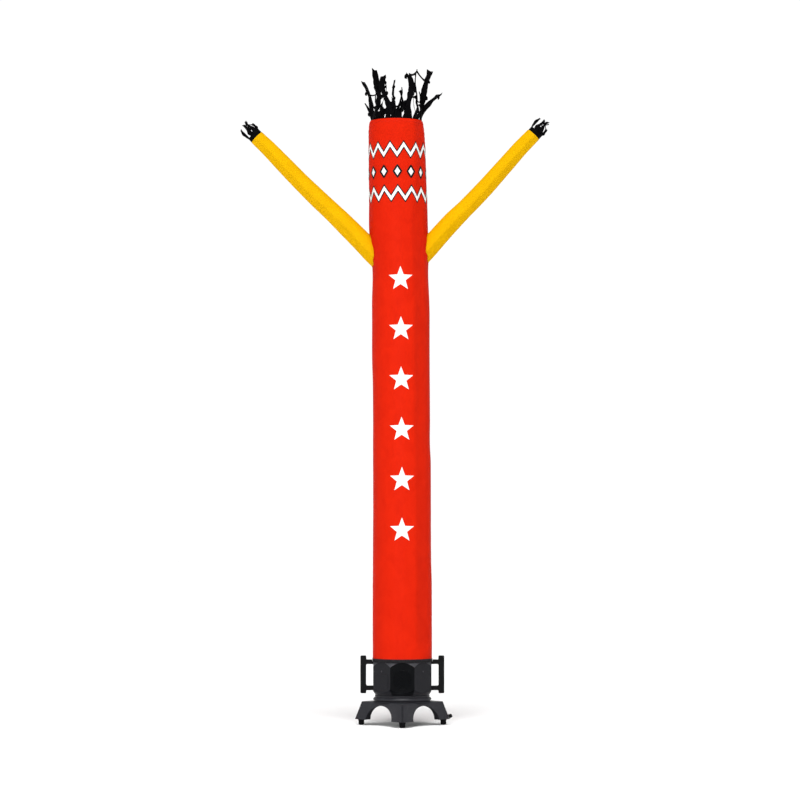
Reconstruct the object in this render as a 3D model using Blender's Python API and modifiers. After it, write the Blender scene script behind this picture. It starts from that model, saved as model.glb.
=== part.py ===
"""An inflatable air dancer standing up on its blower.

Metres, +Z up. The face of the dancer looks along -Y and its arms reach along -X and +X.
The cloth stands as the air holds it: one leaning tube, two sleeves, a fringe of hair and two of fingers.
"""

import math

import bmesh
import bpy
from mathutils import Matrix, Vector

# Where everything stands: the blower's axis is a little off X = 0, so both hands reach equally far from it.
BLOWER_X = 0.057

# Gaps that touching pieces keep.
GAP = 0.0004

# Cloth.
CLOTH = 0.0015
STRIP_CLOTH = 0.0013
TUBE_SIDES = 36
HEM_Z = 0.4885

# The tube, a row for each height at which its outline turns.
# columns: height, axis_x (how far the tube has leaned), across (outer diameter)
TUBE_ROWS = (
    (HEM_Z, 0.0000, 0.457),
    (1.297, 0.0000, 0.457),
    (1.421, -0.0030, 0.451),
    (2.041, -0.0030, 0.451),
    (2.165, -0.0035, 0.450),
    (2.289, -0.0055, 0.444),
    (2.661, -0.0080, 0.442),
    (2.785, -0.0110, 0.447),
    (3.157, -0.0110, 0.447),
    (3.281, -0.0132, 0.444),
    (3.529, -0.0147, 0.440),
    (3.660, -0.0200, 0.446),
    (3.823, -0.0280, 0.455),
    (4.056, -0.0310, 0.451),
    (4.211, -0.0372, 0.449),
    (4.366, -0.0395, 0.446),
    (4.521, -0.0434, 0.440),
    (4.598, -0.0457, 0.436),
    (4.637, -0.0470, 0.431),
    (4.660, -0.0473, 0.420),
    (4.672, -0.0473, 0.409),
)
TUBE_STEP = 0.20

# Soft dents and swellings of the inflated cloth.
# columns: height, around_deg, depth (negative swells out), half_height, half_width_deg
TUBE_DENTS = (
    (0.62, 292.0, 0.0040, 0.16, 26.0),
    (0.98, 322.0, 0.0060, 0.30, 24.0),
    (1.27, 352.0, 0.0050, 0.10, 40.0),
    (1.62, 205.0, 0.0040, 0.34, 28.0),
    (2.17, 350.0, 0.0055, 0.09, 34.0),
    (2.42, 128.0, 0.0060, 0.36, 30.0),
    (3.02, 318.0, 0.0050, 0.40, 24.0),
    (3.46, 20.0, 0.0060, 0.10, 42.0),
    (3.47, 196.0, 0.0055, 0.11, 40.0),
    (3.90, 185.0, -0.0035, 0.12, 40.0),
    (3.93, 318.0, 0.0045, 0.24, 22.0),
    (4.52, 236.0, 0.0035, 0.10, 24.0),
    (4.54, 304.0, 0.0035, 0.10, 24.0),
    (4.40, 80.0, 0.0055, 0.26, 34.0),
)

# Sleeves. root and cuff are points of the sleeve's axis in the plane of the arms.
# columns of SLEEVE_ROWS: along (0 root, 1 cuff), across (share of the root's diameter), rise (negative sags)
SLEEVE_SIDES = 24
SLEEVE_INSIDE = 0.22
SLEEVES = {
    "left": {"root": (-0.2426, 3.664), "cuff": (-1.1312, 4.549), "across": 0.163},
    "right": {"root": (0.2069, 3.691), "cuff": (1.0200, 4.570), "across": 0.152},
}
SLEEVE_ROWS = {
    "left": (
        (0.00, 1.000, 0.000),
        (0.10, 0.985, 0.003),
        (0.22, 0.960, 0.004),
        (0.34, 0.905, 0.002),
        (0.48, 0.880, -0.003),
        (0.62, 0.835, -0.004),
        (0.76, 0.800, -0.001),
        (0.88, 0.760, 0.003),
        (0.96, 0.735, 0.002),
        (1.00, 0.715, 0.000),
    ),
    "right": (
        (0.00, 1.000, 0.000),
        (0.10, 0.990, 0.004),
        (0.24, 0.965, 0.006),
        (0.33, 0.905, 0.000),
        (0.46, 0.900, -0.005),
        (0.60, 0.870, -0.004),
        (0.76, 0.835, 0.001),
        (0.88, 0.805, 0.004),
        (0.96, 0.780, 0.002),
        (1.00, 0.765, 0.000),
    ),
}
ARM_HOLE_LIP = 0.004

# Fringes are cut from one band of cloth each: the band is sewn inside the rim and the strips blow out of it.
STRIP_STEPS = 6
STRIP_TAPER = 0.6
STRIP_RAGGED = 0.16
BAND_SIDE_MAX = math.radians(15.0)
HAIR_RADIUS = 0.1990
HAIR_BAND = (4.636, 4.6775)
# columns: around_deg, rise, drift_x, drift_y, bow, sway, root_width, tip_width, twist_deg
HAIR_STRIPS = (
    (8.0, 0.212, 0.146, -0.030, -0.020, 0.012, 0.036, 0.038, 80.0),
    (21.0, 0.176, 0.092, 0.040, -0.010, -0.010, 0.025, 0.012, -70.0),
    (35.0, 0.150, 0.030, 0.030, 0.012, 0.014, 0.046, 0.018, 40.0),
    (49.0, 0.245, 0.012, 0.020, 0.014, -0.012, 0.046, 0.025, -55.0),
    (63.0, 0.118, -0.012, 0.030, 0.010, 0.008, 0.047, 0.016, 50.0),
    (77.0, 0.268, -0.020, 0.012, 0.016, 0.014, 0.047, 0.023, 70.0),
    (91.0, 0.132, 0.014, 0.030, 0.012, -0.010, 0.047, 0.016, -40.0),
    (105.0, 0.222, 0.016, 0.016, 0.014, 0.012, 0.047, 0.021, 60.0),
    (119.0, 0.112, -0.014, 0.026, 0.010, 0.008, 0.047, 0.016, -50.0),
    (133.0, 0.256, -0.022, 0.018, 0.014, -0.014, 0.047, 0.027, 55.0),
    (148.0, 0.165, -0.024, 0.020, 0.010, 0.010, 0.041, 0.016, -60.0),
    (170.0, 0.146, -0.050, 0.014, -0.006, 0.008, 0.034, 0.014, 75.0),
    (186.0, 0.302, -0.062, -0.016, -0.020, -0.012, 0.041, 0.027, 75.0),
    (201.0, 0.388, 0.024, -0.024, 0.012, 0.030, 0.043, 0.048, 60.0),
    (224.0, 0.150, -0.020, -0.022, 0.008, -0.010, 0.046, 0.016, -40.0),
    (237.0, 0.310, -0.010, 0.034, -0.016, -0.020, 0.047, 0.018, -50.0),
    (250.0, 0.320, -0.030, -0.030, 0.016, 0.020, 0.047, 0.043, 35.0),
    (263.0, 0.288, 0.014, -0.022, 0.008, 0.008, 0.046, 0.014, -30.0),
    (276.0, 0.238, 0.024, 0.016, -0.008, -0.008, 0.044, 0.013, 45.0),
    (289.0, 0.130, -0.012, -0.030, 0.010, 0.008, 0.044, 0.018, 30.0),
    (302.0, 0.336, -0.008, -0.014, 0.010, -0.020, 0.046, 0.048, -40.0),
    (315.0, 0.380, 0.022, -0.026, 0.014, 0.020, 0.041, 0.014, 70.0),
    (327.0, 0.170, -0.012, -0.026, 0.006, 0.010, 0.021, 0.012, -60.0),
    (338.0, 0.215, -0.006, -0.024, 0.008, -0.010, 0.021, 0.014, 50.0),
    (354.0, 0.386, 0.070, -0.016, -0.012, 0.020, 0.036, 0.048, -75.0),
)

HAND_BAND = (-0.016, 0.036)
HAND_INSET = 0.0030
# columns: around_deg (0 faces +X across the sleeve), rise, drift_side, drift_back, bow, sway, root_width,
# tip_width, twist_deg
HAND_STRIPS = (
    (6.0, 0.056, -0.002, -0.004, 0.002, 0.003, 0.022, 0.012, 80.0),
    (52.0, 0.072, -0.028, 0.010, 0.004, -0.005, 0.020, 0.009, 60.0),
    (82.0, 0.092, -0.010, 0.030, 0.008, 0.003, 0.018, 0.009, -55.0),
    (110.0, 0.100, 0.052, -0.040, -0.004, -0.002, 0.020, 0.010, 50.0),
    (184.0, 0.080, 0.004, -0.004, 0.008, 0.003, 0.024, 0.013, 80.0),
    (257.0, 0.091, 0.000, -0.010, 0.004, -0.006, 0.024, 0.012, 45.0),
    (287.0, 0.099, 0.006, -0.014, 0.004, 0.006, 0.024, 0.011, -45.0),
    (322.0, 0.020, -0.002, -0.004, 0.001, 0.001, 0.018, 0.008, 10.0),
)

# Strap that holds the hem on the blower's collar.
STRAP_Z = (0.4905, 0.5035)
STRAP_THICK = 0.0022

# Blower housing: an eight-sided shell whose corners are turned off at both ends, with a round collar above.
# A chamfer is its radius at the end face, and how far it climbs for each metre outwards.
HOUSING_Z = (0.235, 0.487)
HOUSING_FLATS = 0.448
HOUSING_BORE = 0.190
CHAMFER_TOP = (0.2245, 2.0)
CHAMFER_FOOT = (0.2100, 1.5)
COLLAR_RADIUS = 0.2230
COLLAR_TOP = 0.545
ROUND_SIDES = 40
SMALL_SIDES = 16

# Neck between the housing and the legs, turned: two beads, a groove, and a swell down to the legs' plate.
# columns: radius, height above the plate
NECK_PROFILE = (
    (0.2070, 0.0560),
    (0.2075, 0.0440),
    (0.2125, 0.0400),
    (0.2125, 0.0325),
    (0.2050, 0.0300),
    (0.2050, 0.0275),
    (0.2225, 0.0220),
    (0.2235, 0.0140),
    (0.2170, 0.0115),
    (0.2060, 0.0110),
    (0.2060, 0.0070),
    (0.2190, 0.0062),
    (0.2250, 0.0038),
    (0.2330, 0.0020),
    (0.2430, 0.0004),
)
NECK_BORE = 0.180

# Legs: a square skirt standing on a corner, arched on each side.
LEGS_Z = (0.043, 0.179)
LEGS_CORNER = (0.372, 0.319)
LEGS_WALL = 0.057
LEGS_PLATE = 0.018
LEGS_RIDGE = 0.014
LEGS_BORE = 0.180
ARCH_HALF = 0.140
ARCH_TOP = 0.155
ARCH_SPRING = 0.0415

# Feet under the legs' corners, turned. columns: radius, height
FOOT_OUT = 0.316
FOOT_PROFILE = (
    (0.0255, 0.0427),
    (0.0255, 0.0330),
    (0.0225, 0.0310),
    (0.0225, 0.0110),
    (0.0210, 0.0050),
    (0.0165, 0.0012),
    (0.0125, 0.0000),
)

# Handles, flat mouldings with a window for the fingers.
GRIP_X = (0.2795, 0.3235)
GRIP_Z = (0.2420, 0.5310)
UPPER_ARM_Z = (0.4665, 0.5005)
LOWER_ARM_Z = (0.2655, 0.2995)
HANDLE_DEEP = 0.040
HANDLE_EDGE = 0.005
STRAP_NOTCH = (0.2325, 0.4865)

# Cord inlet on the right leg's outer face.
INLET_Z = 0.062
# columns: radius, height above the slope
INLET_PROFILE = (
    (0.0080, 0.0270),
    (0.0130, 0.0240),
    (0.0150, 0.0180),
    (0.0150, 0.0080),
    (0.0175, 0.0060),
    (0.0175, 0.0000),
)

# Finishes: colour, roughness, metallic.
FINISHES = {
    "red_nylon": ((0.780, 0.028, 0.012), 0.55, 0.0),
    "yellow_nylon": ((0.930, 0.560, 0.006), 0.55, 0.0),
    "black_nylon": ((0.006, 0.005, 0.008), 0.60, 0.0),
    "black_webbing": ((0.030, 0.028, 0.030), 0.75, 0.0),
    "grey_plastic": ((0.030, 0.030, 0.034), 0.48, 0.0),
    "black_plastic": ((0.008, 0.008, 0.009), 0.40, 0.0),
    "black_rubber": ((0.010, 0.010, 0.010), 0.80, 0.0),
}


# ---------------------------------------------------------------- scene and small helpers


def clear_scene():
    for thing in list(bpy.data.objects):
        bpy.data.objects.remove(thing, do_unlink=True)


def collection(name):
    made = bpy.data.collections.new(name)
    bpy.context.scene.collection.children.link(made)
    return made


clear_scene()
PARTS = collection("air_dancer")
CUTTERS = collection("cutters")
STAND = bpy.data.objects.new("stand_point", None)
STAND.location = (BLOWER_X, 0.0, 0.0)
PARTS.objects.link(STAND)


def finish_of(name):
    """The Principled material of a finish, made once."""
    material = bpy.data.materials.get(name)
    if material:
        return material
    colour, roughness, metallic = FINISHES[name]
    material = bpy.data.materials.new(name)
    material.use_nodes = True
    shader = material.node_tree.nodes["Principled BSDF"]
    shader.inputs["Base Color"].default_value = (*colour, 1.0)
    shader.inputs["Roughness"].default_value = roughness
    shader.inputs["Metallic"].default_value = metallic
    material.diffuse_color = (*colour, 1.0)
    return material


def put(name, mesh, finish, smooth_deg=35.0):
    """A part: an object of its own in the dancer's collection, standing on the blower's axis."""
    part = bpy.data.objects.new(name, mesh)
    PARTS.objects.link(part)
    part.parent = STAND
    mesh.materials.clear()
    mesh.materials.append(finish_of(finish))
    mesh.shade_smooth()
    mesh.set_sharp_from_angle(angle=math.radians(smooth_deg))
    return part


def put_cutter(name, mesh):
    cutter = bpy.data.objects.new(name, mesh)
    CUTTERS.objects.link(cutter)
    cutter.parent = STAND
    cutter.hide_render = True
    cutter.display_type = "WIRE"
    return cutter


def mesh_from(name, build):
    """A mesh filled by a function that gets an empty bmesh."""
    shape = bmesh.new()
    build(shape)
    mesh = bpy.data.meshes.new(name)
    shape.to_mesh(mesh)
    shape.free()
    return mesh


def boolean(part, cutter, operation="DIFFERENCE"):
    step = part.modifiers.new(cutter.name, "BOOLEAN")
    step.object = cutter
    step.operation = operation
    step.solver = "EXACT"


def solidify(part, thickness, offset, even=True):
    step = part.modifiers.new("thickness", "SOLIDIFY")
    step.thickness = thickness
    step.offset = offset
    step.use_even_offset = even


def bevel(part, width, segments=2, angle_deg=30.0):
    step = part.modifiers.new("edges", "BEVEL")
    step.width = width
    step.segments = segments
    step.limit_method = "ANGLE"
    step.angle_limit = math.radians(angle_deg)
    step.harden_normals = False


def screw(part, sides):
    step = part.modifiers.new("turned", "SCREW")
    step.axis = "Z"
    step.steps = sides
    step.render_steps = sides
    step.merge_threshold = 0.0001
    step.use_merge_vertices = True


def blend(low, high, share):
    return low + (high - low) * share


def smooth(share):
    share = min(1.0, max(0.0, share))
    return share * share * (3.0 - 2.0 * share)


def along_rows(rows, place):
    """The columns after the first, read between the two rows around a place."""
    for before, after in zip(rows, rows[1:]):
        if place <= after[0]:
            share = (place - before[0]) / (after[0] - before[0])
            return [blend(a, b, share) for a, b in zip(before[1:], after[1:])]
    return list(rows[-1][1:])


# ---------------------------------------------------------------- shapes of the cloth


def loft(shape, rings, capped=False):
    """A skin through rings of points that turn the same way, open or capped at both ends."""
    made = [[shape.verts.new(point) for point in ring] for ring in rings]
    for lower, upper in zip(made, made[1:]):
        for i in range(len(lower)):
            j = (i + 1) % len(lower)
            shape.faces.new((lower[i], lower[j], upper[j], upper[i]))
    if capped:
        shape.faces.new(list(reversed(made[0])))
        shape.faces.new(made[-1])


def dent(height, angle):
    """How far the inflated cloth is pushed in at a place on the tube: none at the collar and the rim."""
    pushed = 0.0
    for at, around, depth, half_height, half_width in TUBE_DENTS:
        turn = (math.degrees(angle) - around + 180.0) % 360.0 - 180.0
        reach = math.hypot((height - at) / half_height, turn / half_width)
        pushed += depth * smooth(1.0 - reach / 2.0)
    return pushed * smooth((height - COLLAR_TOP) / 0.10) * smooth((TUBE_ROWS[-1][0] - height) / 0.05)


def tube_point(height, angle, grow=0.0):
    """A point of the tube's outer face, or of a skin that stands grow outside it."""
    axis_x, across = along_rows(TUBE_ROWS, height)
    radius = across / 2.0 - dent(height, angle) + grow
    return Vector((axis_x + radius * math.cos(angle), radius * math.sin(angle), height))


def tube_heights():
    """The rows of the loft: each turn of the outline, and between them steps of about TUBE_STEP."""
    heights = []
    for before, after in zip(TUBE_ROWS, TUBE_ROWS[1:]):
        steps = max(1, round((after[0] - before[0]) / TUBE_STEP))
        heights += [blend(before[0], after[0], k / steps) for k in range(steps)]
    return heights + [TUBE_ROWS[-1][0]]


def tube_rings(grow=0.0):
    turns = [2.0 * math.pi * k / TUBE_SIDES for k in range(TUBE_SIDES)]
    return [[tube_point(height, turn, grow) for turn in turns] for height in tube_heights()]


def sleeve_frame(side):
    """The sleeve's own axes: X across it towards the +X side, Y back, Z from root to cuff."""
    root = Vector((SLEEVES[side]["root"][0], 0.0, SLEEVES[side]["root"][1]))
    cuff = Vector((SLEEVES[side]["cuff"][0], 0.0, SLEEVES[side]["cuff"][1]))
    along = (cuff - root).normalized()
    across = Vector((0.0, 1.0, 0.0)).cross(along)
    back = along.cross(across)
    turn = Matrix((across, back, along)).transposed().to_4x4()
    return Matrix.Translation(root) @ turn, (cuff - root).length


def sleeve_rings(side):
    """Rings from inside the tube to the cuff; the part inside the tube is cut away afterwards."""
    frame, length = sleeve_frame(side)
    radius = SLEEVES[side]["across"] / 2.0
    rise_way = 1.0 if side == "left" else -1.0
    rings = [(-SLEEVE_INSIDE, radius, 0.0)]
    for along, share, rise in SLEEVE_ROWS[side]:
        rings.append((along * length, share * radius, rise * rise_way))
    turns = [2.0 * math.pi * k / SLEEVE_SIDES for k in range(SLEEVE_SIDES)]
    return [
        [frame @ Vector((rise + r * math.cos(t), r * math.sin(t), along)) for t in turns]
        for along, r, rise in rings
    ]


def band_angles(strips, radius):
    """Where the band's points stand: two for each strip's root, and more where strips are far apart."""
    roots = []
    for row in strips:
        half = row[6] / 2.0 / radius
        middle = math.radians(row[0])
        roots.append((middle - half, middle + half))
    angles = []
    for k, (start, end) in enumerate(roots):
        following = roots[(k + 1) % len(roots)][0] + (2.0 * math.pi if k + 1 == len(roots) else 0.0)
        angles += [start, end]
        extra = int((following - end) / BAND_SIDE_MAX)
        angles += [blend(end, following, (n + 1) / (extra + 1)) for n in range(extra)]
    return angles, roots


def strip_edges(root, side, radial, up, drift, row):
    """The two edges of one strip from its root to its tip, as it flutters in the air."""
    rise, bow, sway, root_width, tip_width, twist = row[1], row[4], row[5], row[6], row[7], row[8]
    edges = []
    for k in range(1, STRIP_STEPS + 1):
        t = k / STRIP_STEPS
        middle = root + up * (rise * t) + drift * t**1.5
        middle += radial * (bow * math.sin(math.pi * t)) + side * (sway * math.sin(2.0 * math.pi * t))
        turn = Matrix.Rotation(math.radians(twist) * smooth(t), 3, up)
        ragged = 1.0 + STRIP_RAGGED * math.sin(11.0 * t + row[0])
        width = blend(root_width, tip_width, t**STRIP_TAPER) * ragged
        reach = turn @ side * (width / 2.0)
        edges.append((middle - reach, middle + reach))
    return edges


def fringe(name, frame, radius, band, strips):
    """One sheet: a band bent to a ring, with strips standing apart above it."""
    spin = frame.to_3x3()
    angles, roots = band_angles(strips, radius)

    def ring_point(angle, height):
        return frame @ Vector((radius * math.cos(angle), radius * math.sin(angle), height))

    def build(shape):
        lower = [shape.verts.new(ring_point(a, band[0])) for a in angles]
        upper = [shape.verts.new(ring_point(a, band[1])) for a in angles]
        for i in range(len(angles)):
            j = (i + 1) % len(angles)
            shape.faces.new((lower[i], lower[j], upper[j], upper[i]))
        for (start, end), row in zip(roots, strips):
            low_side, high_side = upper[angles.index(start)], upper[angles.index(end)]
            middle = (start + end) / 2.0
            radial = spin @ Vector((math.cos(middle), math.sin(middle), 0.0))
            side = spin @ Vector((-math.sin(middle), math.cos(middle), 0.0))
            up = spin @ Vector((0.0, 0.0, 1.0))
            drift = spin @ Vector((row[2], row[3], 0.0))
            root = (low_side.co + high_side.co) / 2.0
            for first, second in strip_edges(root, side, radial, up, drift, row):
                first, second = shape.verts.new(first), shape.verts.new(second)
                shape.faces.new((low_side, high_side, second, first))
                low_side, high_side = first, second

    part = put(name, mesh_from(name, build), "black_nylon", 60.0)
    solidify(part, STRIP_CLOTH, 0.0, even=False)
    return part


# ---------------------------------------------------------------- the cloth


def make_tube():
    """The dancer's body: one tube of red cloth, open at the hem and at the top of the head."""
    cloth = mesh_from("body_tube", lambda shape: loft(shape, tube_rings()))
    tube = put("body_tube", cloth, "red_nylon", 60.0)
    solidify(tube, CLOTH, -1.0)
    for side in SLEEVES:
        boolean(tube, arm_hole(side))
    return tube


def arm_hole(side):
    """The round way from the tube into a sleeve."""
    frame, _ = sleeve_frame(side)
    radius = SLEEVES[side]["across"] / 2.0 - CLOTH - ARM_HOLE_LIP
    name = f"arm_hole_{side}"

    def build(shape):
        bmesh.ops.create_cone(
            shape,
            cap_ends=True,
            segments=SLEEVE_SIDES,
            radius1=radius,
            radius2=radius,
            depth=2.0 * SLEEVE_INSIDE,
            matrix=frame,
        )

    return put_cutter(name, mesh_from(name, build))


def make_sleeves():
    """The arms: yellow sleeves, each ending on the tube's face and open at the cuff."""
    name = "tube_face"
    tube_face = put_cutter(name, mesh_from(name, lambda shape: loft(shape, tube_rings(GAP), capped=True)))
    for side in SLEEVES:
        name = f"arm_{side}"
        cloth = mesh_from(name, lambda shape, side=side: loft(shape, sleeve_rings(side)))
        sleeve = put(name, cloth, "yellow_nylon", 60.0)
        solidify(sleeve, CLOTH, -1.0)
        boolean(sleeve, tube_face)


def make_fringes():
    """Hair around the top of the head, and fingers around each cuff."""
    top_x = TUBE_ROWS[-1][1]
    fringe("hair_fringe", Matrix.Translation((top_x, 0.0, 0.0)), HAIR_RADIUS, HAIR_BAND, HAIR_STRIPS)
    for side in SLEEVES:
        frame, length = sleeve_frame(side)
        cuff_radius = SLEEVES[side]["across"] / 2.0 * SLEEVE_ROWS[side][-1][1]
        cuff = frame @ Matrix.Translation((0.0, 0.0, length))
        fringe(f"hand_fringe_{side}", cuff, cuff_radius - HAND_INSET, HAND_BAND, HAND_STRIPS)


def make_strap():
    """The webbing strap drawn tight around the hem."""
    inner = TUBE_ROWS[0][2] / 2.0 + GAP + 0.0001
    turns = [2.0 * math.pi * k / TUBE_SIDES for k in range(TUBE_SIDES)]
    face = inner + STRAP_THICK
    rings = [[(face * math.cos(t), face * math.sin(t), z) for t in turns] for z in STRAP_Z]
    strap = put("base_strap", mesh_from("base_strap", lambda shape: loft(shape, rings)), "black_webbing")
    solidify(strap, STRAP_THICK, -1.0)


# ---------------------------------------------------------------- the blower


def profile_mesh(name, points):
    """A closed or open profile at +X, for a Screw modifier to turn."""

    def build(shape):
        made = [shape.verts.new((radius, 0.0, height)) for radius, height in points]
        for a, b in zip(made, made[1:]):
            shape.edges.new((a, b))
        if points[0][0] > 0.0 and points[-1][0] > 0.0:
            shape.edges.new((made[-1], made[0]))

    return mesh_from(name, build)


def cylinder(shape, radius, low, high, sides=ROUND_SIDES):
    bmesh.ops.create_cone(
        shape,
        cap_ends=True,
        segments=sides,
        radius1=radius,
        radius2=radius,
        depth=high - low,
        matrix=Matrix.Translation((0.0, 0.0, (low + high) / 2.0)),
    )


def make_housing():
    """The blower's eight-sided body: a turned blank cut to eight flats, with the air's way through it."""
    low, high = HOUSING_Z
    corner = HOUSING_FLATS / 2.0 / math.cos(math.pi / 8.0) + 0.01
    blank = profile_mesh(
        "blower_housing",
        (
            (0.0, high),
            (CHAMFER_TOP[0], high),
            (corner, high - CHAMFER_TOP[1] * (corner - CHAMFER_TOP[0])),
            (corner, low + CHAMFER_FOOT[1] * (corner - CHAMFER_FOOT[0])),
            (CHAMFER_FOOT[0], low),
            (0.0, low),
        ),
    )
    housing = put("blower_housing", blank, "grey_plastic")
    screw(housing, ROUND_SIDES)

    def eight_flats(shape):
        cylinder(shape, HOUSING_FLATS / 2.0 / math.cos(math.pi / 8.0), low - 0.05, high + 0.05, sides=8)
        bmesh.ops.rotate(shape, verts=shape.verts, matrix=Matrix.Rotation(math.pi / 8.0, 3, "Z"))

    boolean(housing, put_cutter("housing_flats", mesh_from("housing_flats", eight_flats)), "INTERSECT")

    def collar(shape):
        cylinder(shape, COLLAR_RADIUS, high - 0.02, COLLAR_TOP)

    boolean(housing, put_cutter("housing_collar", mesh_from("housing_collar", collar)), "UNION")

    def duct(shape):
        cylinder(shape, HOUSING_BORE, low - 0.1, COLLAR_TOP + 0.1)

    boolean(housing, put_cutter("housing_duct", mesh_from("housing_duct", duct)))


def make_neck():
    """The turned neck that stands on the legs' plate and carries the housing."""
    foot = LEGS_Z[1]
    outer = [(radius, foot + height) for radius, height in NECK_PROFILE]
    outer[0] = (outer[0][0], HOUSING_Z[0] - GAP)
    points = outer + [(NECK_BORE, foot + GAP), (NECK_BORE, HOUSING_Z[0] - GAP)]
    neck = put("neck_ring", profile_mesh("neck_ring", points), "grey_plastic")
    screw(neck, ROUND_SIDES)


def square_frustum(shape, low, high, corner_low, corner_high):
    """A four-sided frustum with its corners on X and Y."""
    bmesh.ops.create_cone(
        shape,
        cap_ends=True,
        segments=4,
        radius1=corner_low,
        radius2=corner_high,
        depth=high - low,
        matrix=Matrix.Translation((0.0, 0.0, (low + high) / 2.0)),
    )


def make_legs():
    """The moulded base: four corner legs under one plate, an arch between each two."""
    low, high = LEGS_Z

    def skirt(shape):
        square_frustum(shape, low, high, *LEGS_CORNER)
        ridges = [e for e in shape.edges if abs(e.verts[0].co.z - e.verts[1].co.z) > (high - low) / 2.0]
        flat = LEGS_RIDGE / 2.0 * math.sqrt(2.0)
        bmesh.ops.bevel(shape, geom=ridges, offset=flat, segments=1, affect="EDGES")

    legs = put("leg_base", mesh_from("leg_base", skirt), "grey_plastic", 25.0)

    def hollow(shape):
        inside = LEGS_CORNER[0] - LEGS_WALL * math.sqrt(2.0)
        square_frustum(shape, low - 0.02, high - LEGS_PLATE, inside, inside)

    boolean(legs, put_cutter("legs_hollow", mesh_from("legs_hollow", hollow)))

    def arch(shape, turn):
        bmesh.ops.create_cone(
            shape, cap_ends=True, segments=ROUND_SIDES, radius1=1.0, radius2=1.0, depth=1.2,
            matrix=Matrix.Rotation(turn, 4, "Z")
            @ Matrix.Translation((0.0, 0.0, ARCH_SPRING))
            @ Matrix.Diagonal((ARCH_HALF, 1.0, ARCH_TOP - ARCH_SPRING, 1.0))
            @ Matrix.Rotation(math.pi / 2.0, 4, "X"),
        )

    for number, turn in enumerate((math.pi / 4.0, -math.pi / 4.0)):
        name = f"legs_arch_{number}"
        boolean(legs, put_cutter(name, mesh_from(name, lambda shape, t=turn: arch(shape, t))))

    def air_way(shape):
        cylinder(shape, LEGS_BORE, low + 0.003, high + 0.05)

    boolean(legs, put_cutter("legs_air_way", mesh_from("legs_air_way", air_way)))
    bevel(legs, 0.003, segments=1)


def make_feet():
    """Four round feet with flat undersides."""
    points = [(0.0, FOOT_PROFILE[0][1])] + list(FOOT_PROFILE) + [(0.0, 0.0)]
    for name, turn in (("right", 0.0), ("back", 90.0), ("left", 180.0), ("front", 270.0)):
        angle = math.radians(turn)
        foot = put(f"foot_{name}", profile_mesh(f"foot_{name}", points), "black_rubber")
        foot.location = (FOOT_OUT * math.cos(angle), FOOT_OUT * math.sin(angle), 0.0)
        screw(foot, SMALL_SIDES)


def rounded(points):
    """A closed outline whose corners are arcs. columns of points: x, z, corner radius"""
    outline = []
    for k, (x, z, radius) in enumerate(points):
        here = Vector((x, z))
        before = (Vector(points[k - 1][:2]) - here).normalized()
        after = (Vector(points[(k + 1) % len(points)][:2]) - here).normalized()
        if radius == 0.0:
            outline.append(here)
            continue
        for step in range(5):
            t = step / 4.0
            start, end = here + before * radius, here + after * radius
            outline.append((start * (1 - t) + here * t) * (1 - t) + (here * (1 - t) + end * t) * t)
    return outline


def make_handle(side):
    """A grip and two short arms, drawn as an outline with a window and extruded."""
    way = -1.0 if side == "left" else 1.0
    face = HOUSING_FLATS / 2.0 + GAP
    outside = rounded(
        (
            (face, LOWER_ARM_Z[0], 0.0),
            (GRIP_X[0] - 0.002, LOWER_ARM_Z[0], 0.006),
            (GRIP_X[0], GRIP_Z[0], 0.005),
            (GRIP_X[1], GRIP_Z[0], 0.009),
            (GRIP_X[1], GRIP_Z[1], 0.009),
            (GRIP_X[0], GRIP_Z[1], 0.005),
            (GRIP_X[0] - 0.002, UPPER_ARM_Z[1], 0.006),
            (STRAP_NOTCH[0], UPPER_ARM_Z[1], 0.003),
            (STRAP_NOTCH[0], STRAP_NOTCH[1], 0.0),
            (face, STRAP_NOTCH[1], 0.0),
        )
    )
    window = rounded(
        (
            (face, LOWER_ARM_Z[1], 0.0),
            (GRIP_X[0], LOWER_ARM_Z[1], 0.012),
            (GRIP_X[0], UPPER_ARM_Z[0], 0.012),
            (face, UPPER_ARM_Z[0], 0.0),
        )
    )
    outline = outside + list(reversed(window))
    name = f"handle_{side}"
    flat = bpy.data.curves.new(name, "CURVE")
    flat.dimensions = "2D"
    flat.fill_mode = "BOTH"
    flat.extrude = HANDLE_DEEP / 2.0
    spline = flat.splines.new("POLY")
    spline.points.add(len(outline) - 1)
    for point, (x, z) in zip(spline.points, outline):
        point.co = (x * way, z, 0.0, 1.0)
    spline.use_cyclic_u = True
    drawn = bpy.data.objects.new(name + "_outline", flat)
    CUTTERS.objects.link(drawn)
    bpy.context.view_layer.update()
    solid = bpy.data.meshes.new_from_object(drawn.evaluated_get(bpy.context.evaluated_depsgraph_get()))
    bpy.data.objects.remove(drawn, do_unlink=True)
    shape = bmesh.new()
    shape.from_mesh(solid)
    bmesh.ops.remove_doubles(shape, verts=shape.verts, dist=0.00001)
    bmesh.ops.rotate(shape, verts=shape.verts, matrix=Matrix.Rotation(math.pi / 2.0, 3, "X"))
    bmesh.ops.recalc_face_normals(shape, faces=shape.faces)
    shape.to_mesh(solid)
    shape.free()
    handle = put(name, solid, "black_plastic")
    bevel(handle, HANDLE_EDGE, segments=2, angle_deg=50.0)


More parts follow.
